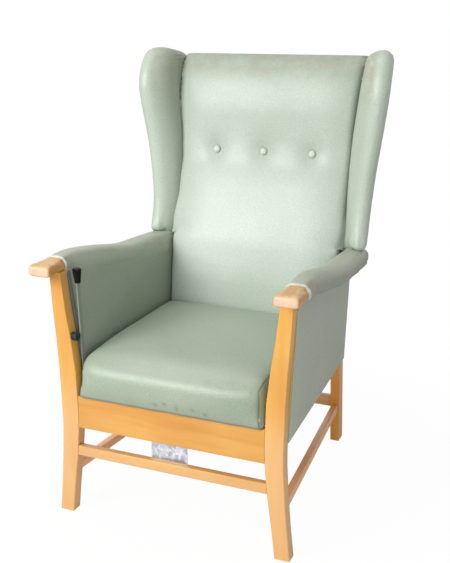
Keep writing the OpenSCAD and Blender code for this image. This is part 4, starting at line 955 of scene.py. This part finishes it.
def make_arm_pad(side):
    """The arm's padding: its cover goes round the wooden arm and runs on down the inner side."""
    away = outward(side)
    piece = joined_arm_cover(side)
    fit_to_knuckle(piece, away)
    p = points_of(piece)
    tail = ramp(p[:, 1], TAIL_START - 20 * MM, TAIL_START + 10 * MM)
    start = ramp(p[:, 1], SLEEVE_START + 90 * MM, SLEEVE_START + 30 * MM)
    held_soft(piece, "ends", np.maximum(tail, start), rounds=10)
    p = points_of(piece)
    above = p[:, 2] + BAND_SLOPE * p[:, 1] - BAND_LOW
    facing = ramp(normals_of(piece)[:, 0] * -away, 0.0, 0.5)
    fold = facing * ramp(p[:, 1], SLEEVE_START + 10 * MM, SLEEVE_START + 40 * MM)
    held_soft(piece, "fold", fold, rounds=30)
    # a rounder top, a little hollow halfway along, and a lower edge that sinks in
    p = points_of(piece)
    base = np.interp(p[:, 1], ARM_LOW_Y, ARM_LOW_Z)
    high = np.clip((p[:, 2] - base) / (42 * MM), 0.0, 1.0)
    out = (p[:, 0] - np.interp(p[:, 1], ARM_LOW_Y, ARM_MIDDLE_X) * away) / (44 * MM)
    p[:, 2] -= 7 * MM * high * np.clip(np.abs(out), 0.0, 1.0) ** 3
    p[:, 2] -= 6 * MM * high * peak(p[:, 1], 85 * MM)
    p[:, 0] += away * facing * 1.6 * MM * ramp(above, 34 * MM, 2 * MM)
    move_points(piece, p)
    # the hem that goes round the bare end
    n = normals_of(piece)
    ring = peak(p[:, 1] - SLEEVE_START - 3 * MM, 4.4 * MM)
    ring *= ramp(p[:, 2], POST_TOP - 8 * MM, POST_TOP)
    move_points(piece, p + n * (ring * 1.4 * MM)[:, None])
    # wear, painted shade on the inner side and low on the outer side, and painted shadow along
    # the lower edge and behind the post
    base = np.interp(p[:, 1], ARM_LOW_Y, ARM_LOW_Z)
    above = p[:, 2] + BAND_SLOPE * p[:, 1] - BAND_LOW
    paint(piece, "wear_and_highlight", ring * 0.8 + ramp(n[:, 2], 0.6, 1.0) * 0.15)
    paint(piece, "dirt", ramp(n[:, 2], -0.2, 0.9) * 0.3 * (1 - ring))
    outer = ramp(n[:, 0] * away, 0.0, 0.7) * ramp(p[:, 2] - base, 52 * MM, 8 * MM)
    inner = ramp(n[:, 0] * -away, 0.35, 1.0) * (0.35 + 0.65 * ramp(above, 60 * MM, 4 * MM))
    paint(piece, "painted_shade", np.maximum(inner, outer) * (1 - ring))
    lower_edge = ramp(p[:, 2] - base, 5 * MM, 1 * MM) * ramp(n[:, 0] * away, -0.6, 0.1)
    behind_post = ramp(-n[:, 1], 0.2, 0.7) * ramp(p[:, 2], POST_TOP - 4 * MM, POST_TOP - 10 * MM)
    paint(piece, "seam_and_shade", np.maximum(lower_edge * 0.5, behind_post * 0.85) * (1 - ring))
    if side == "right":
        at = p[:, 1] + CAD_Y
        across = peak(p[:, 2] - (675 * MM - 0.171 * (at - 90 * MM)), 8 * MM)
        along = sum(peak(at - middle, length) for middle, length in STREAKS)
        paint(piece, "rust", across * along * ramp(n[:, 0], 0.0, 0.4) * 0.85)
    dress(piece, "vinyl_arm")
    stand_for(piece, "arm_pad_" + side)


def make_inner_pad(side):
    """The padding inside the arm, with painted shadow at its front edge, where the post stands
    before it.
    """
    piece = remeshed("inner_pad_" + side, voxel=5.0 * MM, rounds=4)
    behind = points_of(piece)[:, 1]
    behind -= behind.min()
    paint(piece, "seam_and_shade", ramp(behind, 12 * MM, 5 * MM) * 0.85)
    dress(piece, "vinyl_inner")
    stand_for(piece, "inner_pad_" + side)


make_back()
make_cushion()
for side in SIDES:
    make_wing(side)
    make_arm_pad(side)
    make_inner_pad(side)
    eased("side_cover_" + side, "vinyl_side", 1.2 * MM, segments=2)
eased("outer_back", "vinyl_side", 1.5 * MM, segments=2)

for place in ("left", "middle", "right"):
    button = copy_node("back_button_" + place)
    subdivided(button, levels=2)
    dress(button, "vinyl_button")
    stand_for(button, "back_button_" + place)


# small parts keep their CAD shape

KEPT = {
    "strut_plate": "zinc",
    "strut_bracket": "zinc",
    "bearing_left": "zinc",
    "bearing_right": "zinc",
    "strut_tube": "black_paint",
    "strut_rod": "steel",
    "strut_lower_pin": "steel",
    "strut_upper_pin": "steel",
    "hinge_fixed": "steel",
    "hinge_moving": "steel",
    "hinge_pin": "steel",
    "lever_bar": "grey_paint",
    "lever_shaft": "grey_paint",
    "lever_knob": "black_plastic",
    "lever_buffer": "rubber",
    "rest_pads": "rubber",
}
for node, piece in NODES.items():
    dress(piece, KEPT.get(node, "raw_wood"))


# camera, light and floor


def aim(thing, target, roll=0.0):
    way = Vector(target) - thing.location
    thing.rotation_euler = way.to_track_quat("-Z", "Y").to_euler()
    thing.rotation_euler.rotate_axis("Z", math.radians(roll))


def softbox(name, at, size, power):
    """A square soft light that looks at the middle of the chair."""
    bpy.ops.object.light_add(type="AREA", location=at)
    lamp = bpy.context.object
    lamp.name = name
    lamp.data.shape = "RECTANGLE"
    lamp.data.size = size
    lamp.data.size_y = size
    lamp.data.energy = power
    aim(lamp, LIGHTS_TO)


bpy.ops.object.camera_add(location=CAMERA_AT)
camera = bpy.context.object
camera.data.lens = CAMERA_LENS
camera.data.shift_x, camera.data.shift_y = CAMERA_SHIFT
aim(camera, CAMERA_TO, CAMERA_ROLL)
bpy.context.scene.camera = camera

softbox("key", (-1.5, -2.9, 2.2), size=1.6, power=101.0)
softbox("fill", (1.7, -3.0, 1.2), size=2.0, power=28.0)
softbox("top", (-0.6, 0.2, 3.2), size=2.0, power=12.0)


def white_where_seen(strength):
    """A world that lights softly, and is pure white to the camera and in reflections."""
    world = bpy.data.worlds.new("studio")
    bpy.context.scene.world = world
    world.use_nodes = True
    tree = world.node_tree
    tree.nodes.clear()
    path = tree.nodes.new("ShaderNodeLightPath")
    seen = tree.nodes.new("ShaderNodeMath")
    seen.operation = "MAXIMUM"
    clear = tree.nodes.new("ShaderNodeMath")
    clear.operation = "MAXIMUM"
    tree.links.new(path.outputs["Is Camera Ray"], seen.inputs[0])
    tree.links.new(path.outputs["Is Transmission Ray"], seen.inputs[1])
    tree.links.new(seen.outputs[0], clear.inputs[0])
    tree.links.new(path.outputs["Is Glossy Ray"], clear.inputs[1])
    power = tree.nodes.new("ShaderNodeMapRange")
    power.inputs["To Min"].default_value = strength
    power.inputs["To Max"].default_value = 1.0
    tree.links.new(clear.outputs[0], power.inputs["Value"])
    background = tree.nodes.new("ShaderNodeBackground")
    background.inputs["Color"].default_value = (1.0, 1.0, 1.0, 1.0)
    tree.links.new(power.outputs[0], background.inputs["Strength"])
    output = tree.nodes.new("ShaderNodeOutputWorld")
    tree.links.new(background.outputs[0], output.inputs["Surface"])


white_where_seen(WORLD_LIGHT)


def floor_finish():
    """Pale matt floor that reads as white and keeps a faint shadow."""
    f = Finish("floor")
    matt = f.add("ShaderNodeBsdfDiffuse", None, {"Color": (0.9, 0.9, 0.9)})
    glow = f.add("ShaderNodeEmission", None, {"Color": (1.0, 1.0, 1.0), "Strength": 1.0})
    away = f.add("ShaderNodeVectorMath", {"operation": "LENGTH"}, {0: f.place}, out="Value")
    seen = f.add("ShaderNodeLightPath", out="Is Camera Ray")
    seen = seen * f.step(away, *FLOOR_FADE, FLOOR_WHITE, 1.0)
    return f.shown(f.add("ShaderNodeMixShader", None, {0: seen, 1: matt, 2: glow}))


bpy.ops.mesh.primitive_plane_add(size=FLOOR_SIZE, location=(0.0, 0.0, 0.0))
floor = bpy.context.object
floor.name = "floor"
floor.data.materials.append(floor_finish())

bpy.context.scene.view_settings.view_transform = "Standard"
